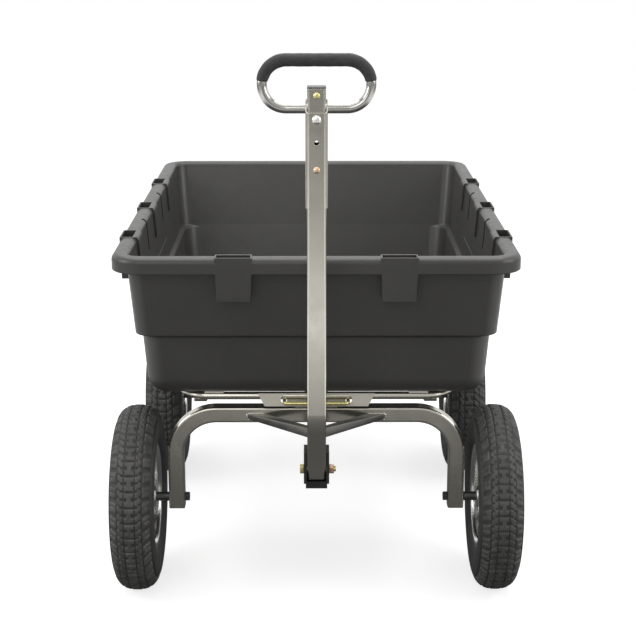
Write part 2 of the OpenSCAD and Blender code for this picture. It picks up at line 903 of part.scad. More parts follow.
// A pocket's outside at the origin: its back on the wall at y = 0, its face towards -Y.
// Its back swells into the tub below the rim.
module pocket_body() {
    deep = rim_over + pocket_bump;
    wide = pocket_w + 2 * pocket_wall;
    top = rim_z + pocket_proud;
    crest = pocket_proud - 0.2;
    low = rim_z - swell_h;
    back = wall_in(rim_z - pocket_h) - tub_wall / 2;
    hull() {
        translate([-wide / 2, -deep, top - 1]) cube([wide, deep + tub_wall / 2, 1]);
        translate([-wide / 2 + pocket_taper, -deep + 2, rim_z - pocket_h])
            cube([wide - 2 * pocket_taper, deep + back - 2, 1]);
    }
    along_wall(pocket_w + 1) polygon(concat(
        [[-tub_wall + 1, rim_z + crest]],
        [for (i = [0:round_steps])
            let (a = 90 - 90 * i / round_steps, reach = wall_in(rim_z - swell_top) + swell - tub_wall / 2)
                [tub_wall / 2 + reach * cos(a), rim_z - swell_top + (swell_top + crest) * sin(a)]],
        [
            [wall_in(low) + swell, low], [wall_in(low) - 1, low - swell], [wall_in(low) - tub_wall / 2, low],
            [tub_wall / 2, rim_z - rim_in], [-tub_wall + 1, rim_z - rim_in / 2]
        ]
    ));
}

module pocket_slot() {
    face = -rim_over - pocket_bump + pocket_wall;
    low = pocket_w - 2 * pocket_taper;
    hull() {
        translate([-pocket_w / 2, face, rim_z + pocket_proud]) cube([pocket_w, pocket_deep, cut]);
        translate([-low / 2, face + 2, rim_z - pocket_h + pocket_wall]) cube([low, pocket_deep - 2, cut]);
    }
}

// Puts its children at each stake pocket
module at_pockets() {
    for (s = [-1, 1]) {
        translate([s * pocket_x, wall_f, 0]) children();
        for (i = pocket_sides) {
            translate([s * wall_x, tub_front + pocket_first + i * pocket_pitch, 0])
                rotate([0, 0, s * 90]) children();
        }
    }
}

// Seams over the side rims and down the inner walls, midway between the stake pockets
module rim_seams() {
    low = rim_z - seam_l;
    angles = [for (i = [0:round_steps]) 84 * (1 - i / round_steps)];
    for (s = [-1, 1], i = [0:len(pocket_sides) - 2]) {
        translate([s * wall_x, tub_front + pocket_first + (i + 0.5) * pocket_pitch, 0])
            rotate([0, 0, s * 90])
            along_wall(seam_w) polygon(concat(
                [for (a = angles) roll(rim_in - seam_d, a)],
                [[wall_in(low) - seam_d, low], [wall_in(low) + seam_d, low]],
                [for (k = [round_steps:-1:0]) roll(rim_in + seam_d, angles[k])]
            ));
    }
}

module at_floor_bolts() {
    for (s = [-1, 1], y = bolt_ys) {
        translate([s * (rail_x - bed_d / 2 - tab_reach / 2), y, 0]) children();
    }
}

module tub() {
    color(poly) from_axle() difference() {
        union() {
            tub_skin();
            at_pockets() pocket_body();
        }
        at_pockets() pocket_slot();
        rim_seams();
        at_floor_bolts() translate([0, 0, floor_z - cut])
            cylinder(d = bolt_d + loose_fit, h = tub_wall + 2 * cut, $fn = 24);
    }
}

// Bed frame

module bed_frame() {
    straight = rail_x - bed_bend;
    color(steel) from_axle() {
        along_x(-straight, bar_y, bed_z) linear_extrude(2 * straight) ring_profile(bed_d, bed_wall);
        both_sides() {
            translate([straight, bar_y + bed_bend, bed_z]) rotate([0, 0, -90])
                rotate_extrude(angle = 90) translate([bed_bend, 0]) ring_profile(bed_d, bed_wall);
            along_y(rail_x, bar_y + bed_bend, bed_z)
                linear_extrude(hinge_y + bed_d / 2 - bar_y - bed_bend) ring_profile(bed_d, bed_wall);
        }
    }
}

module rear_cross_bar() {
    length = 2 * (rail_x - bed_d / 2);
    color(steel) from_axle() translate([-length / 2, hinge_y, bed_z]) rotate([0, 90, 0])
        linear_extrude(length) square_tube_profile(bed_d, bed_wall, bed_wall + 1);
}

// Saddles between the front bar and the tub's rounded edge, and floor tabs on the side rails
module bed_tabs() {
    inset = draft_up + ledge_w + draft_low;
    saddle_y = bar_y - bed_d / 2 + 3;
    color(light_steel) from_axle() {
        both_sides() difference() {
            translate([tab_x - tab_w / 2, saddle_y, bed_z]) cube([tab_w, bed_d - 6, floor_r]);
            along_x(tab_x - tab_w, wall_f + inset + floor_r, floor_z + floor_r)
                cylinder(r = floor_r, h = 2 * tab_w);
            translate([0, wall_f + inset + floor_r, floor_z]) cube([2 * tab_x, 2 * floor_r, 2 * floor_r]);
            along_x(0, bar_y, bed_z) cylinder(d = bed_d, h = rail_x - bed_bend);
            translate([rail_x - bed_bend, bar_y + bed_bend, bed_z])
                rotate_extrude() translate([bed_bend, 0]) circle(d = bed_d);
        }
        at_floor_bolts() translate([0, -tab_l / 2, floor_z - tab_t]) difference() {
            translate([-tab_reach / 2, 0, 0]) cube([tab_reach, tab_l, tab_t]);
            translate([0, tab_l / 2, -cut]) cylinder(d = bolt_d + loose_fit, h = tab_t + 2 * cut);
        }
    }
}

// Lugs below the rear cross bar that turn on the hinge bolts
module hinge_lugs() {
    under = bed_z - bed_d / 2;
    color(steel) from_axle() both_sides() {
        along_x(hinge_x - lug_t / 2, 0, 0) linear_extrude(lug_t) difference() {
            union() {
                translate([-hinge_z, hinge_y]) circle(lug_r);
                translate([-under, hinge_y - bed_d / 2]) square([under - hinge_z, bed_d]);
            }
            translate([-hinge_z, hinge_y]) circle(d = hinge_d + 2 * turn_fit);
        }
    }
}

// Slot profile with round ends, lying along X
module long_slot(length, high) {
    square([length - high, high], center = true);
    for (s = [-1, 1]) {
        translate([s * (length - high) / 2, 0]) circle(d = high);
    }
}

// Trapezoid plate on the front bar, with the release loop's slot and a tab for its spring
module latch_plate() {
    color(light_steel) from_axle() translate([0, plate_y + plate_thick, 0]) rotate([90, 0, 0])
        linear_extrude(plate_thick) {
            difference() {
                polygon([
                    [-latch_w / 2 + plate_taper, plate_low], [latch_w / 2 - plate_taper, plate_low],
                    [latch_w / 2, plate_high], [-latch_w / 2, plate_high]
                ]);
                translate([0, release_z]) long_slot(release_l + 2 * slot_gap, release_h + 2 * slot_gap);
            }
            translate([-tab_half, spring_z - spring_d / 2]) square([2 * tab_half, plate_low - spring_z + spring_d / 2]);
        }
}

module tub_bolts() {
    color(bright) from_axle() at_floor_bolts() {
        translate([0, 0, floor_z + tub_wall]) cylinder(d1 = bolt_head, d2 = bolt_head / 2, h = bolt_head_h);
        translate([0, 0, floor_z - tab_t - nut_thin - 2])
            cylinder(d = bolt_d, h = tub_wall + tab_t + nut_thin + 2);
        translate([0, 0, floor_z - tab_t - nut_thin]) difference() {
            hex(bolt_d * hex_ratio, nut_thin);
            translate([0, 0, -cut]) cylinder(d = bolt_d, h = nut_thin + 2 * cut);
        }
    }
}

// Release

module release_loop() {
    high = release_h - release_d;
    straight = release_l - release_h;
    color(zinc_yellow) from_axle() translate([0, release_y, release_z]) rotate([90, 0, 0]) {
        for (s = [-1, 1]) {
            translate([-straight / 2, s * high / 2, 0]) rotate([0, 90, 0]) cylinder(d = release_d, h = straight);
            translate([s * straight / 2, 0, 0]) rotate([0, 0, -90 * s])
                rotate_extrude(angle = 180) translate([high / 2, 0]) circle(d = release_d);
        }
    }
}

// Tongue from the loop's lower run, under the front bar and under the catch's lip
module latch_tongue() {
    front = release_y;
    color(dark_steel) from_axle() {
        difference() {
            translate([-tongue_w / 2, front, tongue_z - tongue_t / 2])
                cube([tongue_w, tongue_end - front, tongue_t]);
            along_x(-tongue_w, release_y, tongue_z) cylinder(d = release_d, h = 2 * tongue_w);
        }
        translate([-lug_w / 2, lug_y - lug_thick / 2, spring_z - spring_d / 2])
            cube([lug_w, lug_thick, tongue_z - tongue_t / 2 - spring_z + spring_d / 2]);
    }
}

// Points and faces of a tube swept along a coil whose axis is Y
spring_rings = 8;
spring_sides = 6;
spring_len = spring_back - spring_front - spring_wire - 0.1;
spring_n = spring_turns * spring_rings;
function coil_point(i) =
    let (a = 360 * i / spring_rings, r = (spring_d - spring_wire) / 2)
        [r * cos(a), spring_front + spring_wire / 2 + 0.05 + spring_len * i / spring_n, spring_z + r * sin(a)];
function coil_ring(i) =
    let (a = 360 * i / spring_rings, p = coil_point(i))
        [for (k = [0:spring_sides - 1])
            let (b = 360 * k / spring_sides)
                p + spring_wire / 2 * [cos(b) * cos(a), sin(b), cos(b) * sin(a)]];
spring_gap = min([for (i = [0:spring_rings]) norm(coil_point(i + spring_rings) - coil_point(i))]) - spring_wire;
echo(spring_gap = spring_gap);

module release_spring() {
    s = spring_sides;
    color(bright) from_axle() polyhedron(
        points = [for (i = [0:spring_n]) for (p = coil_ring(i)) p],
        faces = concat(
            [[for (k = [0:s - 1]) k]],
            [for (i = [0:spring_n - 1]) for (k = [0:s - 1])
                [i * s + k, (i + 1) * s + k, (i + 1) * s + (k + 1) % s]],
            [for (i = [0:spring_n - 1]) for (k = [0:s - 1])
                [i * s + k, (i + 1) * s + (k + 1) % s, i * s + (k + 1) % s]],
            [[for (k = [s - 1:-1:0]) spring_n * s + k]]
        )
    );
}

// Wheels, each made about the Z axis with its outer side up, then laid on its stub axle

module on_stub(side, y) {
    from_axle() translate([side * track / 2, y, axle_z]) rotate([0, side * 90, 0]) children();
}

tyre_mid = (bead_r + wheel_r) / 2;
tyre_a = (wheel_r - bead_r) / 2;

// A point of a rounded section: radius and offset at an angle, half height and half width
function section(a, half_h, half_w) = [
    tyre_mid + half_h * sign(sin(a)) * pow(abs(sin(a)), 2 / tyre_power),
    half_w * sign(cos(a)) * pow(abs(cos(a)), 2 / tyre_power)
];

bead_angle = 58;
function tyre_side_points(half_h, half_w) = [
    for (i = [0:curve_steps])
        section(-bead_angle + (180 + 2 * bead_angle) * i / curve_steps, half_h, half_w)
];

module tyre() {
    outer = tyre_side_points(tyre_a, tyre_w / 2);
    inner = tyre_side_points(tyre_a - tyre_crown, tyre_w / 2 - tyre_side);
    seat = rim_w / 2 - rim_t;
    foot = seat - bead_seat + 2;
    rotate_extrude() difference() {
        polygon(concat(
            [[bead_r, foot], [bead_r, seat - 1]], outer, [[bead_r, -seat + 1], [bead_r, -foot]],
            [for (i = [curve_steps:-1:0]) inner[i]]
        ));
        for (g = tread_grooves) {
            translate([wheel_r - tread_groove, g * tyre_w - 2]) square([2 * tread_groove, 4]);
        }
    }
}

module rim() {
    w = rim_w / 2;
    seat = w - rim_t;
    well = bead_r - well_drop;
    slope_in = seat - bead_seat;
    slope_out = slope_in - well_slope;
    hub_r = hub_d / 2;
    seat_r = bearing_d / 2;
    mid_r = hub_r - hub_wall_mid;
    hub_end = hub_l / 2;
    step = hub_end - bearing_w;
    disc = hub_l / 4;
    rotate_extrude() polygon([
        [bead_r + flange_h, w], [bead_r + flange_h, seat], [bead_r, seat], [bead_r, slope_in],
        [well, slope_out], [well, -slope_out], [bead_r, -slope_in], [bead_r, -seat],
        [bead_r + flange_h, -seat], [bead_r + flange_h, -w], [bead_r - rim_t, -w],
        [bead_r - rim_t, -slope_in - 1], [well - rim_t, -slope_out - 1], [well - rim_t, -disc_t / 2],
        [well - 16, -disc_t / 2], [hub_r + 12, disc - disc_t], [hub_r, disc - disc_t],
        [hub_r, -hub_end], [seat_r, -hub_end], [seat_r, -step], [mid_r, -step],
        [mid_r, step], [seat_r, step], [seat_r, hub_end], [hub_r, hub_end],
        [hub_r, disc], [hub_r + 14, disc], [well - 14, disc_t / 2], [well - rim_t, disc_t / 2],
        [well - rim_t, slope_out + 1], [bead_r - rim_t, slope_in + 1], [bead_r - rim_t, w]
    ]);
}

module bearings() {
    for (z = [-hub_l / 2, hub_l / 2 - bearing_w]) {
        translate([0, 0, z]) difference() {
            cylinder(d = bearing_d, h = bearing_w);
            translate([0, 0, -cut]) cylinder(d = stub_d + 2 * turn_fit, h = bearing_w + 2 * cut);
        }
    }
}

// Valve stem on the inside of the rim's well, pointing in
module valve() {
    well = bead_r - well_drop - rim_t;
    intersection() {
        translate([well - valve_l, 0, disc_t / 2 + valve_d / 2 + 2.5]) rotate([0, 90, 0])
            cylinder(d = valve_d, h = valve_l + valve_d);
        cylinder(r = well, h = 2 * valve_d);
    }
}

module front_left_tyre() { color(rubber) on_stub(-1, 0) tyre(); }
module front_right_tyre() { color(rubber) on_stub(1, 0) tyre(); }
module rear_left_tyre() { color(rubber) on_stub(-1, wheelbase) tyre(); }
module rear_right_tyre() { color(rubber) on_stub(1, wheelbase) tyre(); }
module front_left_rim() { color(light_steel) on_stub(-1, 0) rim(); }
module front_right_rim() { color(light_steel) on_stub(1, 0) rim(); }
module rear_left_rim() { color(light_steel) on_stub(-1, wheelbase) rim(); }
module rear_right_rim() { color(light_steel) on_stub(1, wheelbase) rim(); }
module front_left_bearings() { color(bright) on_stub(-1, 0) bearings(); }
module front_right_bearings() { color(bright) on_stub(1, 0) bearings(); }
module rear_left_bearings() { color(bright) on_stub(-1, wheelbase) bearings(); }
module rear_right_bearings() { color(bright) on_stub(1, wheelbase) bearings(); }
module front_left_valve() { color(rubber) on_stub(-1, 0) valve(); }
module front_right_valve() { color(rubber) on_stub(1, 0) valve(); }
module rear_left_valve() { color(rubber) on_stub(-1, wheelbase) valve(); }
module rear_right_valve() { color(rubber) on_stub(1, wheelbase) valve(); }

spine_beam();
head_plate();
kingpin();
kingpin_nut();
rear_saddle();
rear_axle_arch();
rear_stub_axles();
rear_spacers();
rear_wheel_nuts();
hinge_brackets();
hinge_bolts();
latch_catch();
front_axle_arch();
steering_plate();
thrust_washer();
kingpin_bush();
tongue_braces();
handle_clevis();
clevis_bolt();
clevis_nut();
front_stub_axles();
front_spacers();
front_wheel_nuts();
handle_tube();
handle_sleeve();
hitch_head();
hitch_head_cap();
hitch_pin();
head_bolt();
sleeve_bolt();
loop_rail();
loop_grip();
tub();
bed_frame();
rear_cross_bar();
bed_tabs();
hinge_lugs();
latch_plate();
tub_bolts();
release_loop();
latch_tongue();
release_spring();
front_left_tyre();
front_left_rim();
front_left_bearings();
front_left_valve();
front_right_tyre();
front_right_rim();
front_right_bearings();
front_right_valve();
rear_left_tyre();
rear_left_rim();
rear_left_bearings();
rear_left_valve();
rear_right_tyre();
rear_right_rim();
rear_right_bearings();
rear_right_valve();
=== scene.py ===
"""Looks of the tipping dump cart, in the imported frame: metres, +Z up, the handle towards -Y."""
import math

import bmesh
import bpy
import numpy as np
from mathutils import Matrix, Vector


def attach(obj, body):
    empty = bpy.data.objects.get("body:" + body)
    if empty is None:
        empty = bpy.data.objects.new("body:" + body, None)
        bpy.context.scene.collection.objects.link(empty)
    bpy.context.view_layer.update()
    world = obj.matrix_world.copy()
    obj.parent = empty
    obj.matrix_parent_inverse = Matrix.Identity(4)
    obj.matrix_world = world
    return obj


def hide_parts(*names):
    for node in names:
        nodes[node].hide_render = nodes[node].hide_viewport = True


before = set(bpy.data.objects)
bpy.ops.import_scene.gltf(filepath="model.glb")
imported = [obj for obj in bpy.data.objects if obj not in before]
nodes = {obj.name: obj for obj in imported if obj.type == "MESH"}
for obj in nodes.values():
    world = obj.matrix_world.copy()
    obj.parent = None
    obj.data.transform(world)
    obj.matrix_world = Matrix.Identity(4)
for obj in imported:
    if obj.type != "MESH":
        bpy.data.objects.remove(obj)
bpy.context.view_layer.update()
scene = bpy.context.scene

# Shapes below are in millimetres from the front axle, as in the part's source
MM = 0.001
AXLE_Y = -433.099
AXLE_Z = 203.0
WHEELBASE = 729.0
TRACK = 782.0


def link(name, data):
    obj = bpy.data.objects.new(name, data)
    scene.collection.objects.link(obj)
    return obj


def to_frame(co):
    """Millimetres from the front axle to metres in the row frame."""
    co = np.asarray(co, float).reshape(-1, 3) * MM
    co[:, 1] += AXLE_Y * MM
    return co


def make(name, verts, faces):
    mesh = bpy.data.meshes.new(name)
    mesh.from_pydata(to_frame(verts).tolist(), [], faces)
    mesh.update()
    return link(name, mesh)


def smooth(obj, angle=30):
    for p in obj.data.polygons:
        p.use_smooth = True
    obj.data.set_sharp_from_angle(angle=math.radians(angle))


# Materials

IOR = 1.5


class Look:
    """One procedural finish: a Principled shader and the textures that vary it."""

    def __init__(self, name, rough, metallic=0.0):
        self.mat = bpy.data.materials.new(name)
        self.mat.use_nodes = True
        self.tree = self.mat.node_tree
        self.shader = self.tree.nodes["Principled BSDF"]
        self.shader.inputs["Metallic"].default_value = metallic
        self.shader.inputs["Roughness"].default_value = rough
        self.shader.inputs["IOR"].default_value = IOR
        self.coords = self.tree.nodes.new("ShaderNodeTexCoord").outputs["Object"]
        self.normal = None

    def put(self, socket, value):
        if isinstance(value, bpy.types.NodeSocket):
            self.tree.links.new(value, socket)
        else:
            socket.default_value = value

    def node(self, kind, inputs=(), **settings):
        n = self.tree.nodes.new(kind)
        for key, value in settings.items():
            setattr(n, key, value)
        for key, value in dict(inputs).items():
            self.put(n.inputs[key], value)
        return n

    def noise(self, scale, detail=3.0, stretch=(1, 1, 1), rough=0.55):
        at = self.coords
        if stretch != (1, 1, 1):
            at = self.node("ShaderNodeMapping", {"Vector": at, "Scale": stretch}).outputs[0]
        n = self.node("ShaderNodeTexNoise", {
            "Vector": at, "Scale": scale, "Detail": detail, "Roughness": rough})
        return n.outputs["Fac"]

    def cells(self, scale):
        n = self.node("ShaderNodeTexVoronoi", {"Vector": self.coords, "Scale": scale})
        return n.outputs["Distance"]

    def ramp(self, fac, stops):
        """Colour (or grey) that changes with fac; stops are (place, colour)."""
        n = self.node("ShaderNodeValToRGB", {"Fac": fac})
        el = n.color_ramp.elements
        while len(el) < len(stops):
            el.new(0.5)
        for e, (place, colour) in zip(el, stops):
            e.position = place
            e.color = (*colour, 1) if isinstance(colour, tuple) else (colour, colour, colour, 1)
        return n.outputs["Color"]

    def maths(self, how, a, b):
        n = self.node("ShaderNodeMath", operation=how)
        self.put(n.inputs[0], a)
        self.put(n.inputs[1], b)
        return n.outputs[0]

    def mix(self, fac, a, b, how="MIX"):
        n = self.node("ShaderNodeMix", data_type="RGBA", blend_type=how)
        self.put(n.inputs[0], fac)
        self.put(n.inputs[6], a)
        self.put(n.inputs[7], b)
        return n.outputs[2]

    def colour(self, value):
        self.put(self.shader.inputs["Base Color"], value)
        return self

    def rough(self, value):
        self.put(self.shader.inputs["Roughness"], value)
        return self

    def bevel(self, radius):
        """Worn, rounded edges on the straight CAD corners."""
        self.normal = self.node("ShaderNodeBevel", {"Radius": radius}, samples=4).outputs[0]
        self.put(self.shader.inputs["Normal"], self.normal)
        return self

    def bump(self, height, strength, distance):
        n = self.node("ShaderNodeBump", {"Height": height, "Strength": strength, "Distance": distance})
        if self.normal:
            self.put(n.inputs["Normal"], self.normal)
        self.normal = n.outputs[0]
        self.put(self.shader.inputs["Normal"], self.normal)
        return self


def painted_steel(name, low, high, metallic, rough):
    """Satin metallic powder coat: fine orange peel, mottled tone, small dark specks."""
    look = Look(name, rough[0], metallic)
    tone = look.ramp(look.noise(9, 4), [(0.3, low), (0.7, high)])
    specks = look.ramp(look.noise(420, 2), [(0.70, 1.0), (0.78, 0.55)])
    look.colour(look.mix(1.0, tone, specks, "MULTIPLY"))
    look.rough(look.ramp(look.noise(35, 5), [(0.3, rough[0]), (0.7, rough[1])]))
    return look.bevel(0.0012).bump(look.noise(620, 2), 0.10, 0.0004)


def zinc(name, low, mid, high):
    """Chromate zinc with its cloudy colour change."""
    look = Look(name, 0.3, 1.0)
    cloud = look.noise(150, 4)
    look.colour(look.ramp(cloud, [(0.32, low), (0.5, mid), (0.68, high)]))
    look.rough(look.ramp(look.noise(300, 3), [(0.3, 0.24), (0.7, 0.40)]))
    return look.bevel(0.0007).bump(look.noise(900, 2), 0.08, 0.0002)


def poly_look(name, low, high):
    """Moulded poly: fine grain, faint flow clouds and light scuffs."""
    look = Look(name, 0.5)
    tone = look.ramp(look.noise(5, 5), [(0.3, low), (0.7, high)])
    scuffs = look.ramp(look.noise(24, 8, (0.35, 1.0, 5.0), 0.7), [(0.62, 0.0), (0.80, 0.35)])
    look.colour(look.mix(scuffs, tone, (0.075, 0.074, 0.071, 1)))
    look.rough(look.ramp(look.noise(60, 6), [(0.3, 0.31), (0.7, 0.42)]))
    look.bevel(0.0016)
    look.bump(look.noise(26, 2), 0.05, 0.002)
    return look.bump(look.noise(1100, 3), 0.20, 0.0003)


def rubber_look(name):
    """Tyre rubber; the tread blocks are paler on their edges and a little on their tops."""
    look = Look(name, 0.62)
    pale_edges = look.node("ShaderNodeAttribute", attribute_name="pale_edges").outputs["Fac"]
    blotch = look.ramp(look.noise(55, 5), [(0.35, 0.15), (0.75, 1.0)])
    tone = look.ramp(look.noise(18, 4), [(0.3, (0.032, 0.032, 0.0315)), (0.7, (0.043, 0.043, 0.042))])
    look.colour(look.mix(look.maths("MULTIPLY", pale_edges, blotch), tone, (0.20, 0.195, 0.182, 1)))
    look.rough(look.ramp(look.noise(90, 4), [(0.3, 0.52), (0.7, 0.70)]))
    return look.bump(look.noise(1300, 2), 0.12, 0.0003)


def foam_look(name):
    """Closed-cell foam: pits and a soft sheen."""
    look = Look(name, 0.8)
    pits = look.cells(650)
    look.colour(look.ramp(look.noise(40, 5), [(0.3, (0.027, 0.027, 0.027)), (0.7, (0.046, 0.046, 0.046))]))
    look.rough(look.ramp(pits, [(0.1, 0.9), (0.6, 0.65)]))
    look.bump(look.noise(140, 3), 0.25, 0.001)
    return look.bump(pits, 0.35, 0.0006)


STEEL = painted_steel("satin_steel", (0.60, 0.572, 0.500), (0.69, 0.660, 0.585), 0.95, (0.14, 0.21))
RAIL = painted_steel("bright_steel", (0.45, 0.442, 0.415), (0.53, 0.522, 0.49), 1.0, (0.12, 0.20))
LIGHT = painted_steel("pressed_steel", (0.65, 0.61, 0.53), (0.73, 0.69, 0.605), 0.2, (0.36, 0.48))
DARK = painted_steel("dark_zinc", (0.090, 0.090, 0.088), (0.150, 0.149, 0.145), 0.8, (0.28, 0.40))
BLACK = painted_steel("black_steel", (0.016, 0.016, 0.016), (0.026, 0.026, 0.025), 0.1, (0.38, 0.52))
# The satin steel's paint darkened: painted shade for the braces, which sit in the shade under the tub
SHADED_BRACE = painted_steel("brace_steel_painted_shade", (0.185, 0.181, 0.170), (0.240, 0.235, 0.220), 0.8, (0.30, 0.42))
WHEEL = painted_steel("wheel_steel", (0.60, 0.60, 0.59), (0.70, 0.70, 0.69), 1.0, (0.16, 0.28))
YELLOW = zinc("zinc_yellow", (0.62, 0.55, 0.21), (0.74, 0.67, 0.29), (0.81, 0.76, 0.42))
COPPER = zinc("zinc_copper", (0.66, 0.40, 0.27), (0.80, 0.56, 0.41), (0.87, 0.70, 0.55))
BRIGHT = zinc("zinc_bright", (0.78, 0.78, 0.76), (0.88, 0.88, 0.85), (0.93, 0.92, 0.88))
POLY = poly_look("tub_poly", (0.0405, 0.0396, 0.0366), (0.0505, 0.0494, 0.0457))
# Near-black poly: painted shade inside the rim's seam grooves
GROOVE_SHADE = poly_look("tub_groove_painted_shade", (0.008, 0.008, 0.008), (0.012, 0.012, 0.012))
RUBBER = rubber_look("tyre_rubber")
FOAM = foam_look("foam_grip")

WHEELS = ("front_left", "front_right", "rear_left", "rear_right")
FINISH = {
    STEEL: ("spine_beam", "head_plate", "rear_saddle", "rear_axle_arch", "hinge_brackets",
            "front_axle_arch", "steering_plate", "handle_tube", "handle_sleeve", "hitch_head",
            "bed_frame", "rear_cross_bar", "hinge_lugs"),
    SHADED_BRACE: ("tongue_braces",),
    RAIL: ("loop_rail",),
    LIGHT: ("latch_plate", "bed_tabs"),
    BLACK: ("latch_catch", "handle_clevis", "latch_tongue"),
    DARK: ("hitch_head_cap", "kingpin", "rear_stub_axles", "rear_spacers", "front_stub_axles",
           "front_spacers"),
    YELLOW: ("kingpin_nut", "hinge_bolts", "clevis_bolt", "hitch_pin", "release_loop"),
    COPPER: ("clevis_nut", "sleeve_bolt"),
    BRIGHT: ("rear_wheel_nuts", "thrust_washer", "kingpin_bush", "front_wheel_nuts", "head_bolt",
             "tub_bolts", "release_spring") + tuple(w + "_bearings" for w in WHEELS),
    WHEEL: tuple(w + "_rim" for w in WHEELS),
    RUBBER: tuple(w + "_tyre" for w in WHEELS) + tuple(w + "_valve" for w in WHEELS),
    FOAM: ("loop_grip",),
    POLY: ("tub",),
}
for look, names in FINISH.items():
    for n in names:
        nodes[n].data.materials.clear()
        nodes[n].data.materials.append(look.mat)


# Tub

FLOOR_Z = 456.8
TUB_H = 313.0
TUB_L = 1268.0
TUB_W = 850.0
TUB_FRONT = -128.0
WALL = 4.0
RIM_OVER = 32.0
RIM_H = 34.0
RIM_ROUND = 13.0
RIM_IN = 12.0
LIP_EDGE = 1.2
LIP_FALL = 2.0
RIM_Z = FLOOR_Z + TUB_H
WALL_TOP = RIM_Z - RIM_H
WALL_X = TUB_W / 2 - RIM_OVER
WALL_F = TUB_FRONT + RIM_OVER
WALL_R = TUB_FRONT + TUB_L - RIM_OVER
LEDGE_Z = FLOOR_Z + 137.0
LEDGE_DROP = 5.0
LEDGE_W = 12.0
LEDGE_ROUND = 2.4
DRAFT_UP = 12.0
DRAFT_LOW = 7.0
REAR_LEAN = 74.0
FLOOR_R = 38.0
CORNER_R = 34.0
LOW_CORNER_R = 46.0
LEAST_CORNER_R = 6.0
CORNER_STEPS = 12
ROUND_STEPS = 8
FLOOR_STEPS = 9
TUB_CREASE = 32

# Stake pockets: two in the front rim and three in each side rim
POCKET_W = 70.0
POCKET_H = 92.0
POCKET_WALL = 3.5
POCKET_PROUD = 1.5
POCKET_BUMP = 1.0
POCKET_BACK = 2.0
POCKET_LEAN = 2.0
POCKET_TAPER = 4.0
POCKET_DEEP = 25.0
POCKET_EDGE = 1.6
POCKET_X = 170.0
POCKET_FIRST = 244.0
POCKET_PITCH = 336.0
CUT_OVER = 1.0

# The swell of a pocket on the inside of the wall
SWELL = 5.5
SWELL_TOP = 14.0
SWELL_LOW = 68.0
SWELL_ROOT = 1.0
SWELL_SHY = 0.2
SWELL_OVER = 0.5
SWELL_EDGE = 0.8

# Seams in the rim between the pockets, their grooves lined with near-black painted shade, and a faint rib
# along each side wall
SEAM_HALF = 7.0
SEAM_DEEP = 2.2
SEAM_OVER = 3.0
SEAM_LOW = 73.0
SEAM_ANGLE = 84
RIB_Y = 530.0
RIB_Z = 645.0
RIB_HALF = 133.0
RIB_OUTLINE = ((2.6, -1.0), (2.0, 0.9), (-2.0, 0.9), (-2.6, -1.0))

# A rounded corner is a curve of this many points, on at most this share of each edge
CURVE_POINTS = 5
CURVE_SHARE = 0.45


def arc(n):
    return [math.radians(90.0 * i / n) for i in range(n + 1)]


def tub_ring(hx, yf, yr, r, z):
    ring = []
    for cx, cy, start in ((1, 1, 0), (-1, 1, 90), (-1, -1, 180), (1, -1, 270)):
        y = yr - r if cy > 0 else yf + r
        for a in arc(CORNER_STEPS):
            a += math.radians(start)
            ring.append((cx * (hx - r) + r * math.cos(a), y + r * math.sin(a), z))
    return ring


def curve(start, corner, end):
    """Points of a short curve that rounds a corner."""
    return [(1 - t) ** 2 * start + 2 * t * (1 - t) * corner + t * t * end
            for t in np.linspace(0, 1, CURVE_POINTS)]


def soften(points, which, reach):
    """Rounds the named corners of a profile with short curves."""
    out = []
    for i, p in enumerate(points):
        if i not in which:
            out.append(p)
            continue
        p = np.array(p)
        ends = []
        for q in (np.array(points[i - 1]), np.array(points[i + 1])):
            ends.append(p + (q - p) * min(CURVE_SHARE, reach / np.linalg.norm((q - p)[[0, 3]])))
        out += curve(ends[0], p, ends[1])
    return out


def wall_rings(t):
    """Rings of the wall's skin from the floor up; t is the distance in from the outer skin."""
    r = FLOOR_R - t
    low = DRAFT_UP + LEDGE_W + DRAFT_LOW + t
    profile = []
    for a in reversed(arc(FLOOR_STEPS)):
        e = r * (1 - math.cos(a))
        corner = max(LOW_CORNER_R - t - e, LEAST_CORNER_R)
        profile.append((low + e, t + e, corner, FLOOR_Z + FLOOR_R - r * math.sin(a)))
    first = len(profile)
    profile += [(DRAFT_UP + LEDGE_W + t, t, LOW_CORNER_R - t, LEDGE_Z - LEDGE_DROP + t),
                (DRAFT_UP + t, t, CORNER_R - t, LEDGE_Z + t),
                (t, t, CORNER_R - t, WALL_TOP)]
    rings = []
    for side_in, extra, corner, z in soften(profile, (first, first + 1), LEDGE_ROUND):
        rear = REAR_LEAN * (WALL_TOP - z) / (WALL_TOP - FLOOR_Z)
        rings.append(tub_ring(WALL_X - side_in, WALL_F + side_in, WALL_R - rear - extra, corner, z))
    return rings


def rim_ring(out, z):
    return tub_ring(WALL_X + out, WALL_F - out, WALL_R + out, CORNER_R + out, z)


def ring_faces(rows, count):
    """Quads between neighbouring rings of count points each."""
    faces = []
    for k in range(rows - 1):
        for i in range(count):
            j = (i + 1) % count
            faces.append([k * count + i, k * count + j, (k + 1) * count + j, (k + 1) * count + i])
    return faces


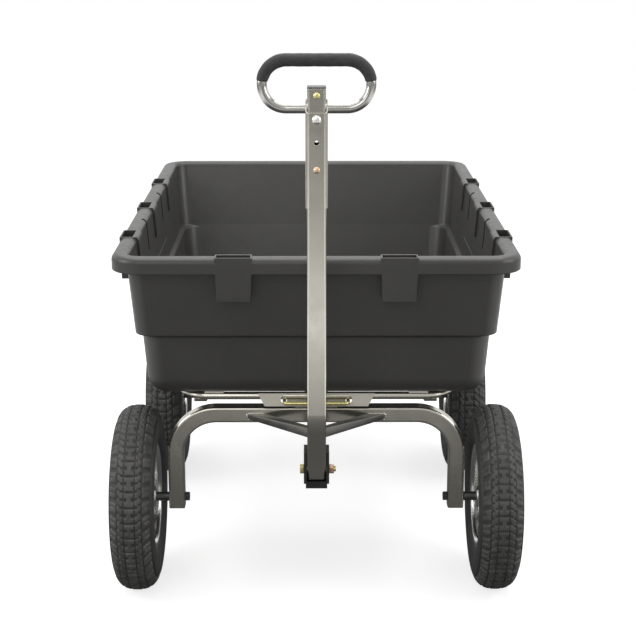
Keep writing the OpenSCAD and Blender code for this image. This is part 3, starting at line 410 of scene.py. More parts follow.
def tub_skin():
    """The shell as rings: up the outer wall, round the rolled rim and down the inner wall."""
    under = RIM_IN - WALL
    lip = RIM_OVER - WALL
    rings = wall_rings(0)
    for a in arc(ROUND_STEPS):
        rings.append(rim_ring(under * (1 - math.cos(a)), RIM_Z - RIM_IN + under * math.sin(a)))
    rings += [rim_ring(lip, RIM_Z - WALL - LIP_FALL),
              rim_ring(lip, WALL_TOP + LIP_EDGE),
              rim_ring(lip + LIP_EDGE, WALL_TOP),
              rim_ring(RIM_OVER - LIP_EDGE, WALL_TOP),
              rim_ring(RIM_OVER, WALL_TOP + LIP_EDGE)]
    for a in arc(ROUND_STEPS):
        out = RIM_OVER - RIM_ROUND * (1 - math.cos(a))
        rings.append(rim_ring(out, RIM_Z - RIM_ROUND + RIM_ROUND * math.sin(a)))
    for a in reversed(arc(2 * ROUND_STEPS)):
        rings.append(rim_ring(under - RIM_IN * math.cos(a), RIM_Z - RIM_IN + RIM_IN * math.sin(a)))
    rings += wall_rings(WALL)[-2::-1]
    count = len(rings[0])
    last = (len(rings) - 1) * count
    faces = [list(range(count))[::-1], list(range(last, last + count))]
    faces += ring_faces(len(rings), count)
    return make("tub_shell", [p for ring in rings for p in ring], faces)


def on_side(s, y):
    """A place on a side wall; a shape's own -y points out of the tub there."""
    return Matrix.Translation((s * WALL_X, y, 0)) @ Matrix.Rotation(math.radians(90 * s), 4, "Z")


def at_pockets():
    places = []
    for s in (-1, 1):
        places.append(Matrix.Translation((s * POCKET_X, WALL_F, 0)))
        for i in range(3):
            places.append(on_side(s, TUB_FRONT + POCKET_FIRST + i * POCKET_PITCH))
    return places


def between_pockets():
    return [on_side(s, TUB_FRONT + POCKET_FIRST + (i + 0.5) * POCKET_PITCH)
            for s in (-1, 1) for i in range(2)]


def frustum(top, low, z_top, z_low):
    """A block whose top and bottom are rectangles (x0, x1, y0, y1)."""
    points = []
    for (x0, x1, y0, y1), z in ((low, z_low), (top, z_top)):
        points += [(x0, y0, z), (x1, y0, z), (x1, y1, z), (x0, y1, z)]
    return points, [[3, 2, 1, 0], [4, 5, 6, 7], [0, 1, 5, 4], [1, 2, 6, 5], [2, 3, 7, 6], [3, 0, 4, 7]]


def prism(profile, half):
    """A (y, z) outline drawn out along x."""
    n = len(profile)
    points = [(x, y, z) for x in (-half, half) for y, z in profile]
    faces = [list(range(n)), list(range(2 * n - 1, n - 1, -1))]
    faces += [[i, i + n, (i + 1) % n + n, (i + 1) % n] for i in range(n)]
    return points, faces


def gather(name, placed, bevel=0.0):
    """One object of closed blocks, each given as its place and its (points, faces)."""
    bm = bmesh.new()
    for place, (points, faces) in placed:
        made = [bm.verts.new(place @ Vector(p)) for p in points]
        for f in faces:
            bm.faces.new([made[i] for i in f])
    bmesh.ops.recalc_face_normals(bm, faces=bm.faces)
    if bevel:
        edges = [e for e in bm.edges if e.calc_face_angle(0) > 0.6]
        bmesh.ops.bevel(bm, geom=edges, offset=bevel, segments=2, profile=0.6, affect="EDGES")
    bmesh.ops.triangulate(bm, faces=[f for f in bm.faces if len(f.verts) > 4])
    mesh = bpy.data.meshes.new(name)
    bm.to_mesh(mesh)
    bm.free()
    co = np.empty(len(mesh.vertices) * 3)
    mesh.vertices.foreach_get("co", co)
    mesh.vertices.foreach_set("co", to_frame(co).ravel())
    mesh.update()
    return link(name, mesh)


def copies(name, shape, places, bevel=0.0):
    return gather(name, [(place, shape) for place in places], bevel)


def boolean(obj, tool, how):
    mod = obj.modifiers.new(tool.name, "BOOLEAN")
    mod.operation = how
    mod.object = tool
    mod.solver = "EXACT"
    mod.material_mode = "TRANSFER"


def apply_modifiers(obj, tools):
    depsgraph = bpy.context.evaluated_depsgraph_get()
    mesh = bpy.data.meshes.new_from_object(obj.evaluated_get(depsgraph))
    obj.modifiers.clear()
    obj.data = mesh
    for t in tools:
        bpy.data.objects.remove(t)


def wall_in(z):
    """Distance of the inner wall's face inside the outer wall line at a height."""
    return WALL + DRAFT_UP * max(0.0, RIM_Z - RIM_IN - z) / (RIM_Z - RIM_IN - LEDGE_Z - WALL)


def roll(radius, first, steps=10):
    """Points down the rim's inner roll, as (y, z), from an angle to level."""
    return [(WALL - RIM_IN + radius * math.cos(a), RIM_Z - RIM_IN + radius * math.sin(a))
            for a in np.radians(np.linspace(first, 0, steps))]


def pocket_shapes():
    """The outside, the inner swell and the hollow of one stake pocket; its wall runs along x."""
    top = RIM_Z + POCKET_PROUD
    foot = RIM_Z - POCKET_H
    half = POCKET_W / 2 + POCKET_WALL
    low_half = half - POCKET_TAPER
    deep = RIM_OVER + POCKET_BUMP
    body = frustum((-half, half, -deep, POCKET_BACK),
                   (-low_half, low_half, POCKET_LEAN - deep, wall_in(foot) - WALL / 2), top, foot)

    crest = RIM_Z - SWELL_TOP
    low_z = RIM_Z - SWELL_LOW
    low_in = wall_in(low_z)
    reach = wall_in(crest) + SWELL - WALL / 2
    swell_top = top - SWELL_SHY
    outline = [(SWELL_ROOT - WALL, swell_top)]
    for a in reversed(arc(ROUND_STEPS)):
        outline.append((WALL / 2 + reach * math.cos(a), crest + (swell_top - crest) * math.sin(a)))
    outline += [(low_in + SWELL, low_z), (low_in - SWELL_ROOT, low_z - SWELL), (low_in - WALL / 2, low_z),
                (WALL / 2, RIM_Z - RIM_IN), (SWELL_ROOT - WALL, RIM_Z - RIM_IN / 2)]
    swell = prism(outline, POCKET_W / 2 + SWELL_OVER)

    slot_half = POCKET_W / 2
    slot_low = slot_half - POCKET_TAPER
    face = POCKET_WALL - deep
    slot = frustum((-slot_half, slot_half, face, face + POCKET_DEEP),
                   (-slot_low, slot_low, face + POCKET_LEAN, face + POCKET_DEEP),
                   top + CUT_OVER, foot + POCKET_WALL)
    return body, swell, slot


def rim_seam():
    """The groove of a seam: over the rim's roll and down the inner wall; its faces carry near-black painted
    shade.
    """
    end = RIM_Z - SEAM_LOW
    return prism(roll(RIM_IN - SEAM_DEEP, SEAM_ANGLE)
                 + [(wall_in(end) - SEAM_DEEP, end), (wall_in(end) + SEAM_OVER, end)]
                 + roll(RIM_IN + SEAM_OVER, SEAM_ANGLE)[::-1], SEAM_HALF)


def build_tub():
    shell = tub_skin()
    body, swell, slot = pocket_shapes()
    rib = prism([(wall_in(RIB_Z + h) + out, RIB_Z + h) for h, out in RIB_OUTLINE], RIB_HALF)
    ribs = copies("wall_ribs", rib, [on_side(s, RIB_Y) for s in (-1, 1)])
    bodies = copies("pocket_bodies", body, at_pockets(), POCKET_EDGE)
    swells = copies("pocket_swells", swell, at_pockets(), SWELL_EDGE)
    slots = copies("pocket_slots", slot, at_pockets())
    seams = copies("rim_seams", rim_seam(), between_pockets())
    for piece in (shell, bodies, swells, slots, ribs):
        piece.data.materials.append(POLY.mat)
    # The seam grooves take the near-black painted shade
    seams.data.materials.append(GROOVE_SHADE.mat)
    for piece in (bodies, swells, ribs):
        boolean(shell, piece, "UNION")
    for piece in (slots, seams):
        boolean(shell, piece, "DIFFERENCE")
    apply_modifiers(shell, (bodies, swells, ribs, slots, seams))
    smooth(shell, TUB_CREASE)
    shell.modifiers.new("flat_faces", "WEIGHTED_NORMAL").keep_sharp = True
    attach(shell, "bed")
    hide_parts("tub")


build_tub()


# Fasteners

UP_Y = -245.802
SLEEVE_TOP = 1083.238
SLEEVE_ACROSS = 43.0
HEAD_ACROSS = 36.0
CLEVIS_Y = -145.0
CLEVIS_Z = 322.0
CLEVIS_HALF = 26.5
HUB_OUT = 429.0
HUB_PLAY = 0.3
LEG_IN = 289.7
HINGE_X = 170.0
HINGE_Y = 829.0
HINGE_Z = FLOOR_Z - 43.0
HINGE_HALF = 11.5

# M12 bolts, their nuts and washers
M12_R = 6.0
M12_ACROSS = 18.0
M12_HEAD = 8.0
M12_NUT = 10.0
M12_THIN_NUT = 7.0
WASHER_R = 11.4
WASHER_T = 2.0
WASHER_EDGE = 0.4
FASTENER_CREASE = 33


def spin(profile, count=48):
    """An outline of (radius, height) turned about Z; a radius of 0 closes it on the axis."""
    points, rows = [], []
    for r, z in profile:
        if r == 0:
            rows.append([len(points)] * count)
            points.append((0, 0, z))
            continue
        rows.append(list(range(len(points), len(points) + count)))
        angles = np.linspace(0, 2 * np.pi, count, endpoint=False)
        points += [(r * math.cos(a), r * math.sin(a), z) for a in angles]
    faces = []
    for a, b in zip(rows, rows[1:]):
        for i in range(count):
            j = (i + 1) % count
            faces.append(list(dict.fromkeys([a[i], a[j], b[j], b[i]])))
    return points, faces


def hexagon(across, low, high, count=72):
    """A hexagon block with the round chamfers of a nut."""
    flat = 0.95 * across / 2
    angles = np.linspace(0, 2 * np.pi, count, endpoint=False)
    reach = across / 2 / np.cos(angles % (np.pi / 3) - np.pi / 6)
    fall = 0.55 * (reach - flat)
    points = [(0, 0, low)]
    for r, z in ((np.full(count, flat), np.full(count, low)), (reach, low + fall), (reach, high - fall),
                 (np.full(count, flat), np.full(count, high))):
        points += list(zip(r * np.cos(angles), r * np.sin(angles), z))
    points.append((0, 0, high))
    faces = []
    for i in range(count):
        j = (i + 1) % count
        faces += [[0, 1 + j, 1 + i], [1 + 4 * count, 1 + 3 * count + i, 1 + 3 * count + j]]
        faces += [[1 + k * count + i, 1 + k * count + j, 1 + (k + 1) * count + j, 1 + (k + 1) * count + i]
                  for k in range(3)]
    return points, faces


def shank(r, low, high, thread, pitch=1.6):
    """A bolt's shank, threaded over its last stretch."""
    profile = [(0, low), (r, low), (r, high - thread)]
    for z in np.arange(high - thread, high - 1.2, pitch):
        profile += [(r - 0.75, z + 0.35 * pitch), (r - 0.75, z + 0.5 * pitch), (r, z + 0.85 * pitch)]
    return spin(profile + [(r - 0.9, high), (0, high)])


def pan(r, h):
    """A domed round head, its top at height 0."""
    dome = ((0, 0), (0.3, 0.02), (0.55, 0.09), (0.76, 0.24), (0.9, 0.46), (0.98, 0.72), (1, 0.88), (0.97, 1),
            (0, 1))
    return spin([(a * r, b * h) for a, b in dome])


def along(axis, x, y, z):
    """A place whose own z runs along the frame's x or y."""
    turn = Matrix.Rotation(math.pi / 2, 4, "Y") if axis == "x" else Matrix.Rotation(-math.pi / 2, 4, "X")
    return Matrix.Translation((x, y, z)) @ turn


def fastener(node, body, look, placed):
    piece = gather(node + "_turned", placed)
    piece.data.materials.append(look.mat)
    smooth(piece, FASTENER_CREASE)
    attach(piece, body)
    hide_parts(node)


def cross_bolt(node, look, z, across, d, head, head_h, tail):
    """A pan-head bolt through the handle from front to back, with its nut."""
    place = along("y", 0, UP_Y - across / 2 - head_h, z)
    end = head_h + across
    fastener(node, "handle", look, [
        (place, pan(head / 2, head_h)),
        (place, shank(d / 2, head_h - 1, end + tail, tail)),
        (place, hexagon(1.5 * d, end, end + tail - 0.5))])


def both(axis, x, y, z):
    """The same place on the right and, mirrored, on the left."""
    right = along(axis, x, y, z)
    return [right, Matrix.Scale(-1, 4, (1, 0, 0)) @ right]


def build_fasteners():
    cross_bolt("hitch_pin", YELLOW, SLEEVE_TOP + 32, HEAD_ACROSS, d=12, head=13, head_h=4, tail=4)
    cross_bolt("head_bolt", BRIGHT, SLEEVE_TOP - 13, SLEEVE_ACROSS, d=8, head=18, head_h=6.5, tail=5)
    cross_bolt("sleeve_bolt", COPPER, SLEEVE_TOP - 109, SLEEVE_ACROSS, d=8, head=13.5, head_h=5, tail=5)
    pivot = along("x", 0, CLEVIS_Y, CLEVIS_Z)
    nut_end = CLEVIS_HALF + M12_NUT
    fastener("clevis_bolt", "front_axle", YELLOW, [
        (pivot, hexagon(M12_ACROSS, -CLEVIS_HALF - M12_HEAD, -CLEVIS_HALF)),
        (pivot, shank(M12_R, -CLEVIS_HALF - 0.5, nut_end + 4, 16))])
    fastener("clevis_nut", "front_axle", COPPER, [(pivot, hexagon(M12_ACROSS, CLEVIS_HALF, nut_end))])
    washer = spin([(0, 0), (WASHER_R, 0), (WASHER_R, WASHER_T - WASHER_EDGE),
                   (WASHER_R - WASHER_EDGE, WASHER_T), (0, WASHER_T)])
    for end, body, y in (("front", "front_axle", 0), ("rear", "chassis", WHEELBASE)):
        placed = []
        for place in both("x", 0, y, AXLE_Z):
            placed.append((place, hexagon(M12_ACROSS, LEG_IN - M12_NUT, LEG_IN)))
            placed.append((place, shank(M12_R, LEG_IN - 1, HUB_OUT + HUB_PLAY + 15, 14)))
        fastener(end + "_stub_axles", body, DARK, placed)
        placed = []
        for place in both("x", HUB_OUT + HUB_PLAY, y, AXLE_Z):
            placed.append((place, washer))
            placed.append((place, hexagon(M12_ACROSS, WASHER_T, WASHER_T + M12_NUT)))
        fastener(end + "_wheel_nuts", body, BRIGHT, placed)
    placed = []
    hinge_end = HINGE_HALF + M12_THIN_NUT
    for place in both("x", HINGE_X, HINGE_Y, HINGE_Z):
        placed.append((place, hexagon(M12_ACROSS, -hinge_end, -HINGE_HALF)))
        placed.append((place, shank(M12_R, -HINGE_HALF - 0.5, hinge_end + 3, 10)))
        placed.append((place, hexagon(M12_ACROSS, HINGE_HALF, hinge_end)))
    fastener("hinge_bolts", "chassis", YELLOW, placed)


build_fasteners()


# Grip, release rod, braces and weld beads

LOOP_L = 116.0
LOOP_R = 45.75
LOOP_Z = 1089.238
RAIL_R = 9.5
GRIP_R = 12.75
GRIP_RISE = 6.0
GRIP_SOFT = 4.5
GRIP_SLIM = 1.7
GRIP_SLIM_RUN = 55.0
ROD_R = 4.0
ROD_Z = FLOOR_Z - 21.5
ROD_FRONT = -52.2
ROD_BACK = -25.0
ROD_HALF = 68.5
ROD_TURN = 8.0
GUIDE_FOLD = [(-35, 441), (-33, 441), (-33, 431), (-27, 431), (-27, 429), (-35, 429)]
GUIDE_HALF = 21.0
GUIDE_X = 42
BRACE_TOP = 401.0
BRACE_SLIM = 388.0
BRACE_LOW = 380.0
BRACE_ROOT = -17.5
BRACE_TIP = -115.0
BRACE_FORK = -109.1
BRACE_OUT = 149.5
BRACE_IN = 110.4
BRACE_TIP_HALF = 18.0
BRACE_EDGE = 2.0
PIECE_CREASE = 40
GRIP_CREASE = 50
WELD_CREASE = 60


def tube_along(path, radii, across, count):
    """Rings of a tube: a path, its radius at each point and, for each point, two directions across it."""
    angles = np.linspace(0, 2 * np.pi, count, endpoint=False)
    u, v = across
    cos, sin = np.cos(angles)[None, :, None], np.sin(angles)[None, :, None]
    rings = path[:, None, :] + radii[:, None, None] * (cos * u[:, None, :] + sin * v[:, None, :])
    return rings.reshape(-1, 3), ring_faces(len(path), count)


def build_grip():
    """Foam over the loop's upper half, its ends rounded down to the rail."""
    first = math.asin(GRIP_RISE / LOOP_R)
    bend = (math.pi / 2 - first) * LOOP_R
    total = 2 * bend + LOOP_L
    ends = GRIP_SOFT * (1 - np.cos(np.linspace(0, np.pi / 2, 9)))
    middle = np.linspace(GRIP_SOFT, total - GRIP_SOFT, 150)[1:-1]
    run = np.concatenate([[0], ends, middle, total - ends[::-1], [total]])
    path, out = [], []
    for t in run:
        a = first + t / LOOP_R if t < bend else math.pi / 2
        x = LOOP_L / 2 - min(max(t - bend, 0), LOOP_L)
        if t > bend + LOOP_L:
            a = math.pi / 2 + (t - bend - LOOP_L) / LOOP_R
        out.append((math.cos(a), 0, math.sin(a)))
        path.append((x + LOOP_R * math.cos(a), UP_Y, LOOP_Z + LOOP_R + LOOP_R * math.sin(a)))
    from_end = np.minimum(run, total - run)
    near = np.clip(from_end / GRIP_SOFT, 0, 1)
    wave = 0.12 * np.sin(run / 7.3) + 0.10 * np.sin(run / 3.1 + 1)
    slim = GRIP_SLIM * (1 - np.clip(from_end / GRIP_SLIM_RUN, 0, 1)) ** 2
    radii = GRIP_R - slim - GRIP_SOFT * (1 - np.sqrt(1 - (1 - near) ** 2)) * 0.4 + (wave - 0.22) * near
    radii[0] = radii[-1] = RAIL_R
    out = np.array(out)
    verts, faces = tube_along(np.array(path), radii, (out, np.tile((0.0, 1.0, 0.0), (len(run), 1))), 40)
    grip = make("foam_sleeve", verts, faces)
    grip.data.materials.append(FOAM.mat)
    smooth(grip, GRIP_CREASE)
    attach(grip, "loop")
    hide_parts("loop_grip")


def build_release():
    """The yellow rod of the release: its run lies low in the slot and its ends bend back through it."""
    right = [(ROD_HALF, ROD_BACK), (ROD_HALF, ROD_BACK), (ROD_HALF, ROD_BACK - 0.5)]
    for a in arc(10):
        right.append((ROD_HALF - ROD_TURN * (1 - math.cos(a)), ROD_FRONT + ROD_TURN * (1 - math.sin(a))))
    plan = np.array(right + [(-x, y) for x, y in reversed(right)])
    way = np.gradient(plan, axis=0)
    way[[0, -1]] = (0, -1), (0, 1)
    way /= np.linalg.norm(way, axis=1)[:, None]
    n = len(plan)
    path = np.column_stack([plan, np.full(n, ROD_Z)])
    across = np.column_stack([-way[:, 1], way[:, 0], np.zeros(n)])
    radii = np.full(n, ROD_R)
    radii[[0, -1]] = 0.05
    radii[[1, -2]] = ROD_R - 0.5
    rod = make("release_rod", *tube_along(path, radii, (across, np.tile((0.0, 0.0, 1.0), (n, 1))), 24))
    rod.data.materials.append(YELLOW.mat)
    smooth(rod, PIECE_CREASE)
    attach(rod, "release")
    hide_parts("release_loop")


def build_guides():
    """Folded strips under the front bar, seen through the slot of the latch plate."""
    places = [Matrix.Translation((x, 0, 0)) for x in (-GUIDE_X, GUIDE_X)]
    guides = copies("latch_guides", prism(GUIDE_FOLD, GUIDE_HALF), places, 0.5)
    guides.data.materials.append(LIGHT.mat)
    smooth(guides, PIECE_CREASE)
    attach(guides, "bed")


def build_braces():
    """The two tongue braces, pressed slimmer where they meet the arch."""
    lower = [(BRACE_OUT, BRACE_ROOT, BRACE_SLIM), (BRACE_TIP_HALF, BRACE_TIP, BRACE_LOW),
             (-BRACE_TIP_HALF, BRACE_TIP, BRACE_LOW), (-BRACE_OUT, BRACE_ROOT, BRACE_SLIM),
             (-BRACE_IN, BRACE_ROOT, BRACE_SLIM), (0.0, BRACE_FORK, BRACE_LOW),
             (BRACE_IN, BRACE_ROOT, BRACE_SLIM)]
    n = len(lower)
    points = [(x, y, BRACE_TOP) for x, y, z in lower] + lower
    upper_faces = [[0, 1, 5, 6], [1, 2, 5], [2, 3, 4, 5]]
    faces = upper_faces + [[i + n for i in reversed(f)] for f in upper_faces]
    faces += [[i, i + n, (i + 1) % n + n, (i + 1) % n] for i in range(n)]
    braces = gather("brace_bars", [(Matrix(), (points, faces))], BRACE_EDGE)
    # The braces take the darkened steel, a painted shade
    braces.data.materials.append(SHADED_BRACE.mat)
    smooth(braces, PIECE_CREASE)
    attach(braces, "front_axle")
    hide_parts("tongue_braces")


def bead(start, end, r):
    """A rippled weld bead from one point to another, rounded at its ends."""
    start, end = np.array(start, float), np.array(end, float)
    way = end - start
    length = np.linalg.norm(way)
    way /= length
    side = np.cross(way, (0.31, 0.52, 0.80))
    side /= np.linalg.norm(side)
    run = np.linspace(0, length, int(length / 0.7) + 6)
    near = np.clip(np.minimum(run, length - run) / r, 0, 1)
    radii = r * np.sqrt(np.maximum(1 - (1 - near) ** 2, 0.002)) * (1 + 0.10 * np.cos(run * 2 * np.pi / 3.2))
    across = np.tile(side, (len(run), 1)), np.tile(np.cross(way, side), (len(run), 1))
    return tube_along(start + run[:, None] * way, radii, across, 10)


def weld(name, body, lines, r):
    """Weld beads along lines on the right, and the same mirrored on the left."""
    beads = [bead(a, b, r) for a, b in lines]
    mirrored = [(v * (-1, 1, 1), [f[::-1] for f in faces]) for v, faces in beads]
    verts, faces = [], []
    for v, f in beads + mirrored:
        faces += [[i + len(verts) for i in q] for q in f]
        verts += v.tolist()
    piece = make(name, verts, faces)
    piece.data.materials.append(STEEL.mat)
    smooth(piece, WELD_CREASE)
    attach(piece, body)


def build_welds():
    root, tip = -18, -114.5
    inner, outer = 111, 149
    weld("brace_welds", "front_axle", [
        ((inner, root, BRACE_TOP), (outer, root, BRACE_TOP)),
        ((outer + 1, root, BRACE_TOP), (outer + 1, root, BRACE_SLIM)),
        ((inner, root, BRACE_SLIM), (outer, root, BRACE_SLIM)),
        ((2, tip, BRACE_TOP), (18, tip, BRACE_TOP))], 2.2)
    plate_edges = (158.5, 163.5, 176.5, 181.5)
    weld("hinge_welds", "chassis", [((x, 747, 381), (x, 747, 413)) for x in plate_edges], 1.8)
    bar_x, bar_low, bar_top = 281.5, 441.5, 455
    weld("bed_welds", "bed", [((bar_x, HINGE_Y + y, bar_low), (bar_x, HINGE_Y + y, bar_top))
                              for y in (7.5, -7.5)], 1.8)


build_grip()
build_release()
build_guides()
build_braces()
build_welds()


# Tyres

TYRE_R = 203.0
BEAD_R = 103.0
TYRE_W = 94.0
TYRE_POWER = 2.5
BEAD_ANGLE = 58.0
SEAT_OUT = 34.0
SEAT_IN = 22.0
PITCHES = 38
PER_PITCH = 18
TREAD_DEEP = 4.0
TREAD_R = 174.0
TREAD_FADE = 3.0
CROWN_R = 172.0
CROWN_HALF = 45.5
CROWN_POINTS = 84
SIDE_POINTS = 20
SIDE_RIB_LOW = 118.0
SIDE_RIB_HIGH = 162.0
SIDE_RIB_PITCH = 9.0
SIDE_RIB_FADE = 4.0
SIDE_RIB_H = 0.5


def step(x, edge, soft):
    """0 below the edge, 1 above it, with a short ramp."""
    t = np.clip((x - edge) / soft + 0.5, 0, 1)
    return t * t * (3 - 2 * t)


def band(x, low, high, soft):
    return step(x, low, soft) * (1 - step(x, high, soft))


def tread(u, v):
    """Relief of the tread, 0 in a groove and 1 on a block; u in pitches, v in millimetres from the middle."""
    side = np.abs(v)
    soft_v, soft_u = 1.6, 0.055

    # Middle row: pairs of bars joined by a web
    mid_u = u % 1
    bars = band(mid_u, 0.06, 0.36, soft_u) + band(mid_u, 0.62, 0.92, soft_u)
    web = band(mid_u, 0.06, 0.92, soft_u) * band(side, -5, 4.2, soft_v)
    middle = np.maximum(bars, web) * (1 - step(side, 10.5, soft_v))

    # Next row: slanted blocks on a zigzag rib
    slant = (u + 0.5 + 0.020 * (side - 14)) % 1
    slanted = band(slant, 0.04, 0.40, soft_u) + band(slant, 0.54, 0.90, soft_u)
    chevron = slanted * band(side, 13.2, 25.5, soft_v)
    zig = 2.2 * (1 - 4 * np.abs((2 * u) % 1 - 0.5))
    rib = band(side + zig, 18.0, 22.0, soft_v)

    # Shoulder: one wide block a pitch, with a cut across it
    shoulder_u = (u + 0.012 * side) % 1
    shoulder = band(shoulder_u, 0.05, 0.72, soft_u) * band(side, 28.3, 43.0, soft_v)
    cut = 1 - 0.75 * band(shoulder_u, 0.34, 0.42, 0.05) * step(side, 32, soft_v)
    return np.clip(np.maximum.reduce([middle, chevron, rib, shoulder * cut]), 0, 1)


def tyre_section():
    """Points of the tyre's outer outline: radius, offset, and the outward direction."""
    a = np.radians(np.linspace(-BEAD_ANGLE, 180 + BEAD_ANGLE, 2400))
    power = 2 / TYRE_POWER
    half = (TYRE_R - BEAD_R) / 2
    middle = (TYRE_R + BEAD_R) / 2
    r = middle + half * np.sign(np.sin(a)) * np.abs(np.sin(a)) ** power
    x = TYRE_W / 2 * np.sign(np.cos(a)) * np.abs(np.cos(a)) ** power
    run = np.concatenate([[0], np.cumsum(np.hypot(np.diff(r), np.diff(x)))])
    crown = (r > CROWN_R) & (np.abs(x) < CROWN_HALF)
    first, last = run[crown][0], run[crown][-1]
    at = np.concatenate([np.linspace(0, first, SIDE_POINTS, endpoint=False),
                         np.linspace(first, last, CROWN_POINTS),
                         np.linspace(last, run[-1], SIDE_POINTS + 1)[1:]])
    r, x = np.interp(at, run, r), np.interp(at, run, x)
    nr, nx = -np.gradient(x, at), np.gradient(r, at)
    flip = np.where(nr * (r - middle) + nx * x < 0, -1, 1)
    return r, x, nr * flip, nx * flip


def tyre_mesh():
    r, x, nr, nx = tyre_section()
    n_u = PITCHES * PER_PITCH
    u = np.arange(n_u) / PER_PITCH
    relief = tread(u[:, None], x[None, :])
    crown = step(r, TREAD_R, TREAD_FADE)[None, :]
    wave = np.clip(np.sin((r - SIDE_RIB_LOW) * 2 * np.pi / SIDE_RIB_PITCH), 0, 1)
    ribs = SIDE_RIB_H * wave * band(r, SIDE_RIB_LOW, SIDE_RIB_HIGH, SIDE_RIB_FADE)
    sink = TREAD_DEEP * (1 - relief) * crown - (ribs[None, :] * (1 - crown))
    rr, xx = r[None, :] - nr[None, :] * sink, x[None, :] - nx[None, :] * sink
    seat = np.array([[BEAD_R, SEAT_OUT], [BEAD_R, SEAT_IN]])
    lead, tail = seat[::-1], seat * [1, -1]
    ones = np.ones((n_u, 1))
    rr = np.hstack([ones * lead[:, 0], rr, ones * tail[:, 0]])
    xx = np.hstack([ones * lead[:, 1], xx, ones * tail[:, 1]])
    # Paler on the walls of the tread blocks and a little on their tops
    pale_edges = (3.2 * relief * (1 - relief) + 0.30 * relief) * crown
    pale_edges = np.hstack([np.zeros((n_u, 2)), pale_edges, np.zeros((n_u, 2))])
    turn = 2 * np.pi * u / PITCHES
    co = np.stack([xx, rr * np.sin(turn)[:, None], rr * np.cos(turn)[:, None]], axis=-1) * MM
    rows = co.shape[1]
    i, k = np.meshgrid(np.arange(n_u), np.arange(rows - 1), indexing="ij")
    j = (i + 1) % n_u
    faces = np.stack([i * rows + k, i * rows + k + 1, j * rows + k + 1, j * rows + k], axis=-1).reshape(-1, 4)
    mesh = bpy.data.meshes.new("tyre")
    mesh.from_pydata(co.reshape(-1, 3).tolist(), [], faces.tolist())
    mesh.attributes.new("pale_edges", "FLOAT", "POINT").data.foreach_set("value", pale_edges.ravel())
    mesh.polygons.foreach_set("use_smooth", np.ones(len(mesh.polygons), bool))
    mesh.materials.append(RUBBER.mat)
    mesh.update()
    return mesh


def build_tyres():
    mesh = tyre_mesh()
    for name, turn in zip(WHEELS, range(4)):
        tyre = link(name + "_tread_tyre", mesh)
        side = -1 if "left" in name else 1
        y = WHEELBASE if name.startswith("rear") else 0
        tyre.location = Vector((side * TRACK / 2, y + AXLE_Y, AXLE_Z)) * MM
        tyre.rotation_euler = (turn * math.pi / 2, 0, 0 if side > 0 else math.pi)
        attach(tyre, name + "_wheel")
        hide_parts(name + "_tyre")


build_tyres()


# Rims

RIM_W = 39.0
FLANGE_R = 116.0
WELL_R = 88.0
HUB_R = 25.0
HUB_BORE = 20.0
HUB_END = 38.0
DISC_R = 56.0
SHEET = 3.0
RIM_CORNER = 2.6


def round_corners(points, reach):
    """A closed outline with its corners drawn as short curves."""
    points = np.array(points, float)
    out = []
    for i, p in enumerate(points):
        ends = []
        for q in (points[i - 1], points[(i + 1) % len(points)]):
            ends.append(p + (q - p) * min(CURVE_SHARE, reach / np.linalg.norm(q - p)))
        out += curve(ends[0], p, ends[1])
    return np.array(out)


def rim_outline():
    """Section of the pressed rim as (radius, offset): rolled flanges, drop centre, dished disc and hub."""
    seat, slope, disc = RIM_W - SHEET, 12.0, HUB_END / 2
    under = BEAD_R - SHEET
    outer = [(FLANGE_R, RIM_W), (FLANGE_R, seat), (BEAD_R, seat), (BEAD_R, 20), (WELL_R, slope)]
    inner = [(WELL_R - SHEET, slope + 1), (under, 21), (under, seat - 4), (under + 5, RIM_W)]
    far = [(r, -x) for r, x in reversed(outer)] + [(r, -x) for r, x in reversed(inner)]
    inside = [(WELL_R - SHEET, -2), (WELL_R - 16, -2), (DISC_R, 6), (HUB_R + 12, disc - 4), (HUB_R, disc - 4)]
    hub = [(HUB_R, -HUB_END), (HUB_BORE, -HUB_END), (HUB_BORE, HUB_END), (HUB_R, HUB_END)]
    outside = [(HUB_R, disc), (HUB_R + 14, disc), (DISC_R, 10), (WELL_R - 14, 2), (WELL_R - SHEET, 2)]
    return round_corners(outer + far + inside + hub + outside + inner, RIM_CORNER)


def build_rims():
    outline = rim_outline()
    count, n = 96, len(outline)
    turn = np.linspace(0, 2 * np.pi, count, endpoint=False)
    r, x = outline[:, 0], outline[:, 1]
    co = [np.tile(x, (count, 1)), np.outer(np.sin(turn), r), np.outer(np.cos(turn), r)]
    co = np.stack(co, axis=-1) * MM
    i, k = np.meshgrid(np.arange(count), np.arange(n), indexing="ij")
    j, m = (i + 1) % count, (k + 1) % n
    faces = np.stack([i * n + k, j * n + k, j * n + m, i * n + m], axis=-1).reshape(-1, 4)
    mesh = bpy.data.meshes.new("rim")
    mesh.from_pydata(co.reshape(-1, 3).tolist(), [], faces.tolist())
    mesh.materials.append(WHEEL.mat)
    mesh.update()
    bm = bmesh.new()
    bm.from_mesh(mesh)
    bmesh.ops.recalc_face_normals(bm, faces=bm.faces)
    bm.to_mesh(mesh)
    bm.free()
    for name in WHEELS:
        rim = link(name + "_pressed_rim", mesh)
        side = -1 if "left" in name else 1
        y = WHEELBASE if name.startswith("rear") else 0
        rim.location = Vector((side * TRACK / 2, y + AXLE_Y, AXLE_Z)) * MM
        rim.rotation_euler = (0, 0, 0 if side > 0 else math.pi)
        smooth(rim, PIECE_CREASE)
        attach(rim, name + "_wheel")
        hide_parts(name + "_rim")


build_rims()


# Stage, light and camera

FLOOR_HALF = 9
BOUNCE = 0.5
SHADOW_CATCH = 0.62
SKY_STRENGTH = 0.42
